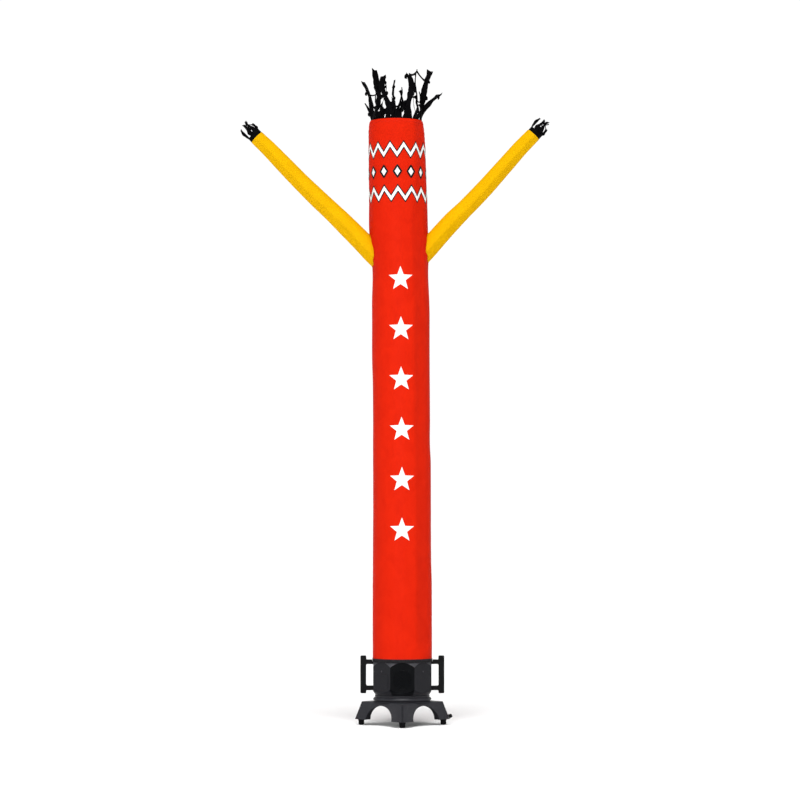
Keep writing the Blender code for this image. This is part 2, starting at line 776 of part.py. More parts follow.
def make_inlet():
    """The round inlet of the power cord, on the slope of the right leg."""
    low, high = LEGS_Z
    slope = (LEGS_CORNER[0] - LEGS_CORNER[1]) / (high - low)
    ridge_x = LEGS_CORNER[0] - slope * (INLET_Z - low) - LEGS_RIDGE / 2.0
    tilt = math.atan(slope)
    points = [(0.0, INLET_PROFILE[0][1])] + list(INLET_PROFILE) + [(0.0, 0.0)]
    inlet = put("cord_inlet", profile_mesh("cord_inlet", points), "black_rubber")
    inlet.location = (ridge_x + (GAP + 0.0002) / math.cos(tilt), 0.0, INLET_Z)
    inlet.rotation_euler = (0.0, math.pi / 2.0 - tilt, 0.0)
    screw(inlet, SMALL_SIDES)


make_tube()
make_sleeves()
make_fringes()
make_strap()
make_housing()
make_neck()
make_legs()
make_feet()
make_handle("left")
make_handle("right")
make_inlet()
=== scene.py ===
"""The looks of an inflatable air dancer on its blower: cloth, fringes, prints, stitching and mouldings.

Metres, +Z up. The dancer's front looks along -Y and its arms reach along -X and +X.
The cloth lies on the folds of its solids, with its finer creases, hems and seams on them.
"""

import math
import random
from functools import lru_cache

import bmesh
import bpy
from mathutils import Matrix, Vector, noise


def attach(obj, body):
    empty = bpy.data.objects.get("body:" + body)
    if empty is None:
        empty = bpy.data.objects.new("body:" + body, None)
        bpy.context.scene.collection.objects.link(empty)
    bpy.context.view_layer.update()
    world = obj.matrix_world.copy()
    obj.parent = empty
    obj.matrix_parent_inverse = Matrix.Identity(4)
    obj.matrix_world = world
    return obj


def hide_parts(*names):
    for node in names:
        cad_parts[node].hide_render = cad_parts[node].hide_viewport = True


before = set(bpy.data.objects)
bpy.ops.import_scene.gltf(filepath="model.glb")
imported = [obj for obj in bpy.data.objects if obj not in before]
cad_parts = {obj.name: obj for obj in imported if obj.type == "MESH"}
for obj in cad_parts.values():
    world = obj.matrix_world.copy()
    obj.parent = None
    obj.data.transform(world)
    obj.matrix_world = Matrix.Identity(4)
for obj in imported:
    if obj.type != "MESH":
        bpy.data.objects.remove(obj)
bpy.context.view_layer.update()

# Everything stands on the blower's axis: the tables below are measured from it.
BLOWER_X = 0.057
AT_BLOWER = Matrix.Translation((BLOWER_X, 0.0, 0.0))

# Cloth. A skin of thin nylon; hems are turned in once.
NYLON = 0.0008
STRIP_NYLON = 0.0009
TUBE_SIDES = 120
TUBE_STEP = 0.0130
HEM_Z = 0.4885
COLLAR_TOP = 0.545
# columns: how far inside the cloth's face, rise from its end
FOOT_HEM = ((0.0011 + NYLON, 0.0230), (0.0011 + NYLON, 0.0030), (0.0011, 0.0004), (0.0003, 0.0002))
RIM_HEM = ((0.0007, 0.0012), (0.0014, 0.0010), (0.0018, -0.0010), (0.0018, -0.0260))
CUFF_HEM = ((0.0006, 0.0010), (0.0012, 0.0008), (0.0015, -0.0010), (0.0015, -0.0180))
# The cloth's first row lies this far above the hem's edge. The wide rows end, and closer ones start, this far
# below the rim.
HEM_UP = 0.0015
RIM_ROWS = (0.036, 0.032)
RIM_STEP = 0.004

# columns: height, axis_x (how far the tube has leaned), across (outer diameter)
TUBE_ROWS = (
    (HEM_Z, 0.0000, 0.457),
    (1.297, 0.0000, 0.457),
    (1.421, -0.0030, 0.451),
    (2.041, -0.0030, 0.451),
    (2.165, -0.0035, 0.450),
    (2.289, -0.0055, 0.444),
    (2.661, -0.0080, 0.442),
    (2.785, -0.0110, 0.447),
    (3.157, -0.0110, 0.447),
    (3.281, -0.0132, 0.444),
    (3.529, -0.0147, 0.440),
    (3.660, -0.0200, 0.446),
    (3.823, -0.0280, 0.455),
    (4.056, -0.0310, 0.451),
    (4.211, -0.0372, 0.449),
    (4.366, -0.0395, 0.446),
    (4.521, -0.0434, 0.440),
    (4.598, -0.0457, 0.436),
    (4.637, -0.0470, 0.431),
    (4.660, -0.0473, 0.420),
    (4.672, -0.0473, 0.409),
)
RIM_Z = TUBE_ROWS[-1][0]
OUTLINE_SOFT = 0.05

# Soft dents and swellings of the inflated cloth.
# columns: height, around_deg, depth (negative swells out), half_height, half_width_deg
TUBE_DENTS = (
    (0.62, 292.0, 0.0040, 0.16, 26.0),
    (0.98, 322.0, 0.0060, 0.30, 24.0),
    (1.27, 352.0, 0.0050, 0.10, 40.0),
    (1.62, 205.0, 0.0040, 0.34, 28.0),
    (2.17, 350.0, 0.0055, 0.09, 34.0),
    (2.42, 128.0, 0.0060, 0.36, 30.0),
    (3.02, 318.0, 0.0050, 0.40, 24.0),
    (3.46, 20.0, 0.0060, 0.10, 42.0),
    (3.47, 196.0, 0.0055, 0.11, 40.0),
    (3.90, 185.0, -0.0035, 0.12, 40.0),
    (3.93, 318.0, 0.0045, 0.24, 22.0),
    (4.52, 236.0, 0.0035, 0.10, 24.0),
    (4.54, 304.0, 0.0035, 0.10, 24.0),
    (4.40, 80.0, 0.0055, 0.26, 34.0),
)

# The long soft edge that the cloth stands in, right of the middle, with a flatter side beside it.
EDGE_DEG = 296.0
EDGE_RISE = 0.0056
EDGE_WIDE_DEG = 7.0
FLAT_DEG = 316.0
FLAT_DEEP = 0.0088
FLAT_WIDE_DEG = 14.0
# It wavers by so many degrees, turns farther round at the head, and stands out more in places.
# columns: amount, ripples in a metre, shift
EDGE_WAVERS = ((5.0, 0.7, 3.1), (2.0, 4.0, 8.4))
EDGE_SWELLS = (0.5, 1.1, 5.7)
EDGE_LEAST = 0.85
HEAD_TURN_DEG = 12.0
HEAD_TURN_Z = 3.9
HEAD_TURN_OVER = 0.4

# Long shallow ripples of the tube's cloth.
# columns: rise, ripples across, ripples in a metre up, shift
TUBE_RIPPLES = ((0.0022, 2.2, 0.75, 0.0), (0.0013, 5.0, 1.7, 4.0), (0.0006, 9.0, 7.0, 0.0))

# Puckers of the forehead.
PUCKERS_Z = (4.36, 4.66)
PUCKER_PITCH = 0.036
PUCKER_RISE = 0.0019
PUCKERS_FADE = (0.16, 0.03)

# Creases that fan out from the sleeves' seams: so many around, their rise, and how soon they die out.
PULL_COUNT = 6.0
PULL_RISE = 0.0026
PULL_SUNK = 0.0022
PULL_REACH = 0.055
PULL_BEHIND = -0.20
PULL_Z = (3.3, 4.3)

# The folds die out where the cloth is held: at the collar and at the rim.
DENTS_FADE = (0.10, 0.05)
FOLDS_FADE = (0.08, 0.03)

# Sleeves, as the solids have them.
SLEEVE_SIDES = 72
SLEEVE_STEP = 0.0125
SLEEVE_GAP = 0.0006
# The mean of its girth, as a share of the root's.
SLEEVE_MEAN = 0.87
# Where a sleeve's end may lie, from its root, and the rim of cloth left around the hole behind it.
SLEEVE_STARTS = (-0.16, 0.30)
HOLE_RIM = 0.014
HOLE_DEEP = 0.25
# way: whether a sleeve's own X looks up (1) or down (-1); seed: gives each sleeve folds of its own
SLEEVES = {
    "left": {"root": (-0.2426, 3.664), "cuff": (-1.1312, 4.549), "across": 0.163, "way": 1.0, "seed": 3.0},
    "right": {"root": (0.2069, 3.691), "cuff": (1.0200, 4.570), "across": 0.152, "way": -1.0, "seed": 11.0},
}

# columns: along (0 root, 1 cuff), across (share of the root's diameter), rise (sag is negative)
SLEEVE_ROWS = {
    "left": (
        (0.00, 1.000, 0.000),
        (0.10, 0.985, 0.003),
        (0.22, 0.960, 0.004),
        (0.34, 0.905, 0.002),
        (0.48, 0.880, -0.003),
        (0.62, 0.835, -0.004),
        (0.76, 0.800, -0.001),
        (0.88, 0.760, 0.003),
        (0.96, 0.735, 0.002),
        (1.00, 0.715, 0.000),
    ),
    "right": (
        (0.00, 1.000, 0.000),
        (0.10, 0.990, 0.004),
        (0.24, 0.965, 0.006),
        (0.33, 0.905, 0.000),
        (0.46, 0.900, -0.005),
        (0.60, 0.870, -0.004),
        (0.76, 0.835, 0.001),
        (0.88, 0.805, 0.004),
        (0.96, 0.780, 0.002),
        (1.00, 0.765, 0.000),
    ),
}
# columns: rise, ripples across, ripples in a metre along, which of the three the seed shifts
SLEEVE_RIPPLES = ((0.0016, 1.6, 2.2, 0), (0.0011, 3.2, 6.0, 1), (0.0005, 4.0, 16.0, 2))
# A soft edge runs along the front of each sleeve, with a flatter stretch below it: height, width in degrees.
SLEEVE_EDGE_DEG = 12.0
SLEEVE_EDGE_WAVER = (7.0, 2.0)
SLEEVE_EDGE = (0.0030, 13.0)
SLEEVE_FLAT = (0.0042, 17.0)
SLEEVE_FLAT_DEG = 32.0
# The seam at the root gathers the cloth: rise, gathers around, how far along they reach.
SLEEVE_GATHERS = (0.0016, 11.0, 0.07)
SLEEVE_FADE = 0.03

# Fringes: a band sewn inside the rim, and its strips.
# A strip narrows by this power of its length, and swells and curls by these shares of its width.
STRIP_STEPS = 26
STRIP_COLUMNS = 4
STRIP_TAPER = 0.6
STRIP_RAGGED = 0.16
STRIP_CURL = (0.16, 0.08)
STRIP_SHAKE = 0.004
# The band's rows and columns are this far apart, and it swells this much between its stitches.
FRINGE_ROWS = 0.010
FRINGE_STEP = 0.008
FRINGE_SWELL = 0.0006
# Strips on a ring narrower than this shake and sag less.
FULL_RADIUS = 0.12
HAIR_RADIUS = 0.1990
HAIR_BAND = (4.636, 4.6775)
# columns: around_deg, rise, drift_x, drift_y, bow, sway, root_width, tip_width, twist_deg
HAIR_STRIPS = (
    (8.0, 0.212, 0.146, -0.030, -0.020, 0.012, 0.040, 0.048, 80.0),
    (21.0, 0.176, 0.092, 0.040, -0.010, -0.010, 0.025, 0.012, -70.0),
    (35.0, 0.150, 0.030, 0.030, 0.012, 0.014, 0.046, 0.018, 40.0),
    (49.0, 0.245, 0.012, 0.020, 0.014, -0.012, 0.046, 0.025, -55.0),
    (63.0, 0.118, -0.012, 0.030, 0.010, 0.008, 0.047, 0.016, 50.0),
    (77.0, 0.268, -0.020, 0.012, 0.016, 0.014, 0.047, 0.023, 70.0),
    (91.0, 0.132, 0.014, 0.030, 0.012, -0.010, 0.047, 0.016, -40.0),
    (105.0, 0.222, 0.016, 0.016, 0.014, 0.012, 0.047, 0.021, 60.0),
    (119.0, 0.112, -0.014, 0.026, 0.010, 0.008, 0.047, 0.016, -50.0),
    (133.0, 0.256, -0.022, 0.018, 0.014, -0.014, 0.047, 0.027, 55.0),
    (148.0, 0.165, -0.024, 0.020, 0.010, 0.010, 0.041, 0.016, -60.0),
    (170.0, 0.146, -0.050, 0.014, -0.006, 0.008, 0.034, 0.014, 75.0),
    (186.0, 0.302, -0.062, -0.016, -0.020, -0.012, 0.041, 0.027, 75.0),
    (201.0, 0.388, 0.016, -0.024, -0.046, 0.022, 0.043, 0.048, 60.0),
    (224.0, 0.150, -0.020, -0.022, 0.008, -0.010, 0.046, 0.016, -40.0),
    (237.0, 0.310, 0.014, 0.034, -0.016, -0.020, 0.047, 0.026, -50.0),
    (250.0, 0.320, -0.030, -0.030, 0.016, 0.020, 0.047, 0.043, 35.0),
    (263.0, 0.288, 0.014, -0.022, 0.008, 0.008, 0.046, 0.014, -30.0),
    (276.0, 0.238, 0.024, 0.016, -0.008, -0.008, 0.044, 0.013, 45.0),
    (289.0, 0.130, -0.012, -0.030, 0.010, 0.008, 0.044, 0.018, 30.0),
    (302.0, 0.336, -0.008, -0.014, 0.010, -0.020, 0.046, 0.048, -40.0),
    (315.0, 0.380, 0.022, -0.026, 0.014, 0.020, 0.041, 0.014, 70.0),
    (327.0, 0.170, -0.012, -0.026, 0.006, 0.010, 0.021, 0.012, -60.0),
    (338.0, 0.215, -0.006, -0.024, 0.008, -0.010, 0.021, 0.014, 50.0),
    (354.0, 0.386, 0.070, -0.016, -0.012, 0.020, 0.036, 0.048, -75.0),
)
HAND_BAND = (-0.016, 0.036)
HAND_INSET = 0.0030
# columns as above; the drifts are across the sleeve, towards +X, and back
HAND_STRIPS = (
    (350.0, 0.062, -0.004, -0.004, 0.002, 0.003, 0.034, 0.018, -62.0),
    (52.0, 0.080, -0.028, 0.010, 0.004, -0.005, 0.032, 0.014, 60.0),
    (82.0, 0.102, -0.010, 0.030, 0.008, 0.003, 0.030, 0.014, -55.0),
    (110.0, 0.108, 0.052, -0.040, -0.004, -0.002, 0.032, 0.015, 50.0),
    (196.0, 0.092, 0.002, -0.004, 0.006, 0.003, 0.040, 0.016, 62.0),
    (257.0, 0.101, 0.000, -0.010, 0.004, -0.006, 0.038, 0.017, 20.0),
    (287.0, 0.108, 0.006, -0.014, 0.004, 0.006, 0.038, 0.016, -20.0),
    (322.0, 0.024, -0.002, -0.004, 0.001, 0.001, 0.026, 0.013, 10.0),
)
# Where two strips were never cut apart a scrap of cloth sags between them.
TIE_STEPS = 6
TIE_SAG = 0.010
# The edges of the hair are torn and carry tabs; the hands' strips are cut cleaner.
TORN = 0.34
CUT = 0.12
TAB_EVERY = 0.100
TAB_FIRST = (0.5, 1.2)
TAB_NEXT = (0.5, 1.3)
TAB_LONG = (0.009, 0.019)
TABS_UP = 0.7
# columns: how far out, and its lower and upper side, all in shares of a tab's length
TAB_ROWS = ((-0.20, -1.30, 1.20), (0.30, -1.05, 1.15), (0.72, -0.70, 1.05), (1.0, -0.25, 0.70))
# A strip's tip slants, and is notched in its middle, by these shares of its width.
TIP_SLANT = (-0.30, 0.30)
TIP_NOTCH = (0.05, 0.22)
# Ties between neighbouring strips where they were never cut apart.
# columns: strip, share along it, other strip, share along that, width
HAIR_TIES = (
    (13, 0.07, 14, 0.20, 0.050),
    (14, 0.24, 15, 0.12, 0.056),
    (15, 0.14, 16, 0.15, 0.060),
    (16, 0.12, 17, 0.16, 0.056),
    (9, 0.16, 10, 0.26, 0.050),
    (8, 0.30, 9, 0.18, 0.056),
    (10, 0.30, 11, 0.36, 0.040),
    (13, 0.44, 15, 0.56, 0.024),
    (13, 0.60, 15, 0.76, 0.020),
    (13, 0.74, 15, 0.93, 0.022),
    (21, 0.93, 24, 0.74, 0.022),
    (12, 0.30, 13, 0.26, 0.020),
    (12, 0.62, 13, 0.50, 0.014),
    (11, 0.55, 12, 0.34, 0.016),
    (14, 0.60, 15, 0.32, 0.022),
    (15, 0.58, 16, 0.60, 0.024),
    (15, 0.86, 16, 0.88, 0.020),
    (16, 0.34, 17, 0.38, 0.022),
    (17, 0.30, 18, 0.36, 0.018),
    (18, 0.52, 19, 0.80, 0.020),
    (19, 0.60, 20, 0.26, 0.020),
    (20, 0.46, 21, 0.42, 0.018),
    (20, 0.74, 21, 0.66, 0.014),
    (20, 0.96, 21, 0.90, 0.022),
    (21, 0.22, 22, 0.52, 0.016),
    (22, 0.80, 23, 0.62, 0.014),
    (23, 0.40, 24, 0.24, 0.016),
    (0, 0.50, 24, 0.34, 0.014),
)
HAND_TIES = (
    (5, 0.30, 6, 0.34, 0.016),
    (5, 0.62, 2, 0.66, 0.012),
    (6, 0.66, 3, 0.60, 0.012),
    (0, 0.90, 6, 0.72, 0.010),
)

# Strap around the hem.
STRAP_Z = (0.4888, 0.5120)
STRAP_FACE = (0.2290, 0.2312)
STRAP_CROWN = 0.0001
STRAP_SIDES = 180

# Stitching. A stitch is this long, and a thread this thick, which is twice as thick as real, to be seen.
STITCH = 0.0045
STITCH_PITCH = 0.0066
THREAD = 0.0006
THREAD_END = 0.45
# columns: share of the stitch, how far out of the cloth in threads
STITCH_DIVE = ((0.0, -1.0), (0.2, 0.1), (0.5, 0.4), (0.8, 0.1), (1.0, -1.0))
HEM_STITCH_Z = (0.5145, 0.5205)
RIM_STITCH_Z = (4.6490,)
CUFF_STITCH = 0.012
ROOT_STITCH = 0.0075
# The corded edge around a sleeve's root.
CORD_ROUND = 120
CORD_RADIUS = 0.0019
CORD_ALONG = 0.0012
CORD_LIFT = 0.0008
# The lapped seam up the tube's back. columns: share of its half width, lift off the cloth
LAP_HALF = 0.0060
LAP_COLUMNS = ((-1.0, 0.0002), (-0.8, 0.0012), (0.0, 0.0014), (0.8, 0.0012), (1.0, 0.0002))
LAP_ENDS = (0.018, 0.020)
LAP_STEP = 0.012
LAP_PULL = 0.0004
LAP_STITCHES = 0.7
LAP_STITCH_LIFT = 0.0016

# Prints, measured across the front (towards +X) and up.
INK_LIFT = 0.0009
LINE_LIFT = 0.0014
STARS_Z = (1.500, 1.886, 2.272, 2.658, 3.044, 3.430)
STAR_OUT = 0.098
STAR_IN = 0.041
# Two zigzag bands and a row of lozenges around the head, their repeats dividing the tube's round.
BAND_REPEATS = 13
BAND_HEIGHTS = (4.430, 4.090)
BAND_RISE = 0.040
BAND_WIDE = 0.036
BAND_EDGE = 0.014
BAND_SEAM_GAP = 0.0085
LOZENGE_Z = 4.260
LOZENGE_HALF = (0.030, 0.046)

# Blower.
HOUSING_Z = (0.235, 0.487)
HOUSING_FLATS = 0.448
HOUSING_BORE = 0.190
# The chamfers at its ends: the radius where each starts, and how far it falls for each metre out.
CHAMFER_TOP = (0.2245, 2.0)
CHAMFER_FOOT = (0.2100, 1.5)
COLLAR_RADIUS = 0.2230
TURNED_SIDES = 96
HOUSING_EDGE = 0.0022
# How far upwards the faces of a chamfer look.
CHAMFER_LEAN = (0.25, 0.75)
# columns: radius, height over the legs; the first row goes on up to the housing
NECK_PROFILE = (
    (0.2050, 0.0522),
    (0.2100, 0.0510),
    (0.2116, 0.0460),
    (0.2102, 0.0418),
    (0.2084, 0.0396),
    (0.2088, 0.0380),
    (0.2135, 0.0350),
    (0.2210, 0.0280),
    (0.2250, 0.0205),
    (0.2248, 0.0160),
    (0.2195, 0.0130),
    (0.2070, 0.0120),
    (0.2070, 0.0066),
    (0.2190, 0.0060),
    (0.2250, 0.0038),
    (0.2330, 0.0020),
    (0.2430, 0.0004),
)
NECK_BORE = 0.180
NECK_EDGE = 0.0010
NECK_GAP = 0.0004
LEGS_Z = (0.043, 0.179)
# Half the diagonal of the legs' skirt, at its foot and at its top.
LEGS_CORNER = (0.372, 0.319)
LEGS_WALL = 0.057
LEGS_PLATE = 0.018
LEGS_RIDGE = 0.014
LEGS_BORE = 0.180
LEGS_EDGE = 0.0028
# The ridges of the legs' corners, which get painted shade: faces that look this squarely along X or Y, this
# far out.
RIDGE_FACING = 0.90
RIDGE_OUT = 0.30
# An arch: half its width, its top, where its curve springs, and how near to it a face counts as inside.
ARCH_HALF = 0.140
ARCH_TOP = 0.155
ARCH_SPRING = 0.0415
ARCH_NEAR = 0.012
GRILLE_Z = 0.3565
GRILLE_R = 0.076
# columns: how far inside the rim's edge, out from the flat
GRILLE_RIM = ((0.0, 0.0), (0.0, 0.0012), (0.0012, 0.0022), (0.0040, 0.0022), (0.0052, 0.0012), (0.0052, 0.0))
RIB_PITCH = 0.0105
RIB_WIDE = 0.0050
RIB_HIGH = 0.0016
RIB_NARROW = 0.8
RIB_SHORTEST = 0.006
PLATE_Z = 0.3356
PLATE_ACROSS = -0.0045
PLATE_SIZE = (0.148, 0.120)
PLATE_CORNER = 0.010
# columns: how far inside the plate's edge, out from the flat
PLATE_LAYERS = ((0.0, 0.0), (0.0, 0.0012), (0.0009, 0.0018), (0.0050, 0.0018), (0.0058, 0.0010))
SCREW_Z = 0.4170
# columns: radius, out from the flat; the last rows are the recess
SCREW_PROFILE = (
    (0.0060, 0.0),
    (0.0060, 0.0010),
    (0.0052, 0.0021),
    (0.0034, 0.0027),
    (0.0022, 0.0028),
    (0.0016, 0.0016),
    (0.0, 0.0014),
)

# Studio. The camera's frame spans this many metres at the dancer.
FRAME_SPAN = 6.2
CAMERA_AT = (0.0392, -21.0, 1.7)
CAMERA_AIM_Z = 2.5056
# The surround is white around the horizon and dimmer overhead, where the broad light hangs.
SURROUND_SIDES = 1.04
SURROUND_TOP = 0.26
SURROUND_FADE = (0.21, 0.42)
OVERHEAD_POWER = 3.15
OVERHEAD_LEAN_DEG = 19.0
OVERHEAD_WIDE_DEG = 24.0
# The softbox in front of the dancer.
FRONT_AT = (-2.0, -10.0, 3.2)
FRONT_AIM = (0.0, 0.0, 2.4)
FRONT_SIZE = 1.4
FRONT_POWER = 380.0
FLOOR_REACH = 60.0


# ---------------------------------------------------------------- small helpers


def blend(low, high, share):
    return low + (high - low) * share


def smooth(share):
    share = min(1.0, max(0.0, share))
    return share * share * (3.0 - 2.0 * share)


def ripple(x, y, z=0.0):
    return noise.noise(Vector((x, y, z)))


def swung(place, amount, pace, shift):
    """A slow change to and fro along a length."""
    return amount * ripple(pace * place, shift)


def turned_from(turn_deg, centre_deg):
    """The turn from one direction to another, between -180 and 180 degrees."""
    return (turn_deg - centre_deg + 180.0) % 360.0 - 180.0


def hump(turn_deg, centre_deg, wide_deg):
    """1 at a place around the tube, falling softly to 0 beside it."""
    return math.exp(-((turned_from(turn_deg, centre_deg) / wide_deg) ** 2))


def along_rows(rows, place):
    """The columns after the first, read between the two rows around a place."""
    for before, after in zip(rows, rows[1:]):
        if place <= after[0]:
            share = (place - before[0]) / (after[0] - before[0])
            return [blend(a, b, share) for a, b in zip(before[1:], after[1:])]
    return list(rows[-1][1:])


def soft_rows(rows, place, window):
    """The same, with the corners between rows rounded off over a window."""
    window = max(0.0, min(window, place - rows[0][0], rows[-1][0] - place))
    read = [along_rows(rows, place + window * k / 3.0) for k in range(-3, 4)]
    return [sum(column) / len(read) for column in zip(*read)]


def steps(low, high, step):
    count = max(2, round((high - low) / step))
    return [blend(low, high, k / count) for k in range(count + 1)]


def all_round(count):
    """Even turns around an axis."""
    return [2.0 * math.pi * k / count for k in range(count)]


def polar(radius, turn, height=0.0):
    return Vector((radius * math.cos(turn), radius * math.sin(turn), height))


# ---------------------------------------------------------------- finishes


def linear(colour):
    """A hex colour as the linear numbers that a shader takes."""
    parts = [int(colour[k : k + 2], 16) / 255.0 for k in (1, 3, 5)]
    return [p / 12.92 if p <= 0.04045 else ((p + 0.055) / 1.055) ** 2.4 for p in parts] + [1.0]


def fill(tree, node, settings):
    """Gives a node its settings, an input named as on it or as in0, in1: a value, a hex colour or a link."""
    for name, value in settings.items():
        label = name.replace("_", " ")
        if name.startswith("in") and name[2:].isdigit():
            target = node.inputs[int(name[2:])]
        else:
            target = next((socket for socket in node.inputs if socket.name.lower() == label), None)
        if target is None:
            setattr(node, name, value)
        elif isinstance(value, bpy.types.NodeSocket):
            tree.links.new(value, target)
        else:
            is_colour = isinstance(value, str) and value.startswith("#")
            target.default_value = linear(value) if is_colour else value


def add(tree, kind, output=0, **settings):
    """Adds a node with its settings and links, and gives back one of its outputs."""
    node = tree.nodes.new(f"ShaderNode{kind}")
    fill(tree, node, settings)
    return node.outputs[output]


def finish(make):
    """Makes a material of a function that adds its nodes and gives back what the shader is to get."""

    def made(name, *colours, **values):
        material = bpy.data.materials.new(name)
        material.use_nodes = True
        tree = material.node_tree
        fill(tree, tree.nodes["Principled BSDF"], make(tree, *colours, **values))
        return material

    return made


@finish
def nylon(tree, colour, shade, gloss=0.012):
    """Dyed nylon taffeta, calendered on one side: a plain weave with a soft shine, crumpled by the air."""
    place = add(tree, "UVMap", uv_map="cloth")
    # The threads lie 0.4 mm apart in real taffeta, and are drawn 2.4 mm apart here, to be seen at all.
    weft = add(tree, "TexWave", 1, vector=place, bands_direction="X", scale=131.0)
    warp = add(tree, "TexWave", 1, vector=place, bands_direction="Y", scale=131.0)
    weave = add(tree, "Math", operation="MULTIPLY", in0=weft, in1=warp)
    # Fine crumple of packed and unpacked cloth, a hand's breadth across and a finger's.
    hand = add(tree, "TexNoise", vector=place, scale=9.0, detail=3.0, roughness=0.5, distortion=0.6)
    finger = add(tree, "TexNoise", vector=place, scale=38.0, detail=4.0, roughness=0.55, distortion=0.9)
    # Creases left by folding it into its bag: thin soft lines.
    folded = add(tree, "TexVoronoi", vector=place, feature="DISTANCE_TO_EDGE", scale=3.2)
    lines = add(tree, "MapRange", value=folded, from_max=0.05, to_min=1.0, to_max=0.0)
    dyed = add(tree, "MapRange", value=hand, from_min=0.35, from_max=0.70, to_max=0.55)
    worn = add(tree, "MapRange", value=finger, from_min=0.3, from_max=0.7, to_min=0.44, to_max=0.60)
    soft = add(tree, "Bump", strength=0.5, distance=0.0020, height=hand)
    fine = add(tree, "Bump", strength=0.35, distance=0.0010, height=finger, normal=soft)
    crease = add(tree, "Bump", strength=0.25, distance=0.0008, height=lines, normal=fine)
    return {
        "base_color": add(tree, "Mix", 2, data_type="RGBA", in0=dyed, in6=colour, in7=shade),
        "roughness": worn,
        "normal": add(tree, "Bump", strength=0.18, distance=0.0002, height=weave, normal=crease),
        "specular_ior_level": gloss,
    }


@finish
def moulded(tree, colour, worn, roughness, grain=620.0, gloss=0.35):
    """Injection-moulded plastic from a spark-eroded mould: an even fine grain, scuffed in places."""
    place = add(tree, "TexCoord", "Object")
    pits = add(tree, "TexNoise", vector=place, scale=grain, detail=2.0, roughness=0.6)
    scuff = add(tree, "TexNoise", vector=place, scale=14.0, detail=6.0, roughness=0.7, distortion=1.2)
    flow = add(tree, "TexNoise", vector=place, scale=3.0, detail=2.0)
    rubbed = add(tree, "MapRange", value=scuff, from_min=0.52, from_max=0.72)
    dull = {"to_min": roughness - 0.07, "to_max": roughness + 0.12}
    fine = add(tree, "Bump", strength=0.30, distance=0.0003, height=pits)
    return {
        "base_color": add(tree, "Mix", 2, data_type="RGBA", in0=rubbed, in6=colour, in7=worn),
        "roughness": add(tree, "MapRange", value=scuff, from_min=0.3, from_max=0.7, **dull),
        "normal": add(tree, "Bump", strength=0.25, distance=0.0015, height=flow, normal=fine),
        "specular_ior_level": gloss,
    }


@finish
def ink(tree, colour, thin):
    """Screen-printed ink: an even film, glossier than the cloth, the weave showing where it is thin."""
    place = add(tree, "UVMap", uv_map="cloth")
    film = add(tree, "TexNoise", vector=place, scale=60.0, detail=5.0, roughness=0.6)
    weave = add(tree, "TexNoise", vector=place, scale=420.0, detail=1.0)
    missed = add(tree, "MapRange", value=film, from_min=0.45, from_max=0.75, to_max=0.5)
    dull = add(tree, "MapRange", value=film, from_min=0.3, from_max=0.7, to_min=0.36, to_max=0.52)
    return {
        "base_color": add(tree, "Mix", 2, data_type="RGBA", in0=missed, in6=colour, in7=thin),
        "roughness": dull,
        "normal": add(tree, "Bump", strength=0.2, distance=0.0002, height=weave),
        "specular_ior_level": 0.12,
    }


@finish
def webbing(tree, colour, worn):
    """Woven polyester webbing: raised ribs across its length, fuzzy where it has rubbed."""
    place = add(tree, "UVMap", uv_map="cloth")
    # Ribs every 1.6 mm of its length, as on 1 mm webbing, drawn a little coarser.
    ribs = add(tree, "TexWave", 1, vector=place, bands_direction="X", scale=196.0, distortion=1.0)
    fuzz = add(tree, "TexNoise", vector=place, scale=240.0, detail=4.0, roughness=0.7)
    rubbed = add(tree, "MapRange", value=fuzz, from_min=0.45, from_max=0.75)
    return {
        "base_color": add(tree, "Mix", 2, data_type="RGBA", in0=rubbed, in6=colour, in7=worn),
        "roughness": 0.78,
        "normal": add(tree, "Bump", strength=0.6, distance=0.0005, height=ribs),
        "specular_ior_level": 0.10,
    }


@finish
def thread(tree, colour, dark):
    """Twisted polyester sewing thread, with the turns of its twist across it."""
    place = add(tree, "TexCoord", "Object")
    twist = add(tree, "TexWave", 1, vector=place, bands_direction="DIAGONAL", scale=900.0, distortion=0.5)
    return {
        "base_color": add(tree, "Mix", 2, data_type="RGBA", in0=twist, in6=colour, in7=dark),
        "roughness": 0.6,
        "normal": add(tree, "Bump", strength=0.4, distance=0.0002, height=twist),
        "specular_ior_level": 0.3,
    }


@finish
def screw_steel(tree, oxide, bright):
    """Blackened steel: dark oxide, bright where the driver has turned in it."""
    place = add(tree, "TexCoord", "Object")
    rub = add(tree, "TexNoise", vector=place, scale=340.0, detail=4.0, roughness=0.7)
    worn = add(tree, "MapRange", value=rub, from_min=0.5, from_max=0.7)
    dull = add(tree, "MapRange", value=rub, from_min=0.3, from_max=0.7, to_min=0.30, to_max=0.50)
    return {
        "base_color": add(tree, "Mix", 2, data_type="RGBA", in0=worn, in6=oxide, in7=bright),
        "roughness": dull,
        "metallic": 1.0,
    }


@finish
def floor_paper(tree, colour, shade):
    """Pale studio paper with a faint tooth."""
    place = add(tree, "TexCoord", "Object")
    tooth = add(tree, "TexNoise", vector=place, scale=3.0, detail=2.0)
    return {
        "base_color": add(tree, "Mix", 2, data_type="RGBA", in0=tooth, in6=colour, in7=shade),
        "roughness": 0.9,
        "specular_ior_level": 0.1,
    }


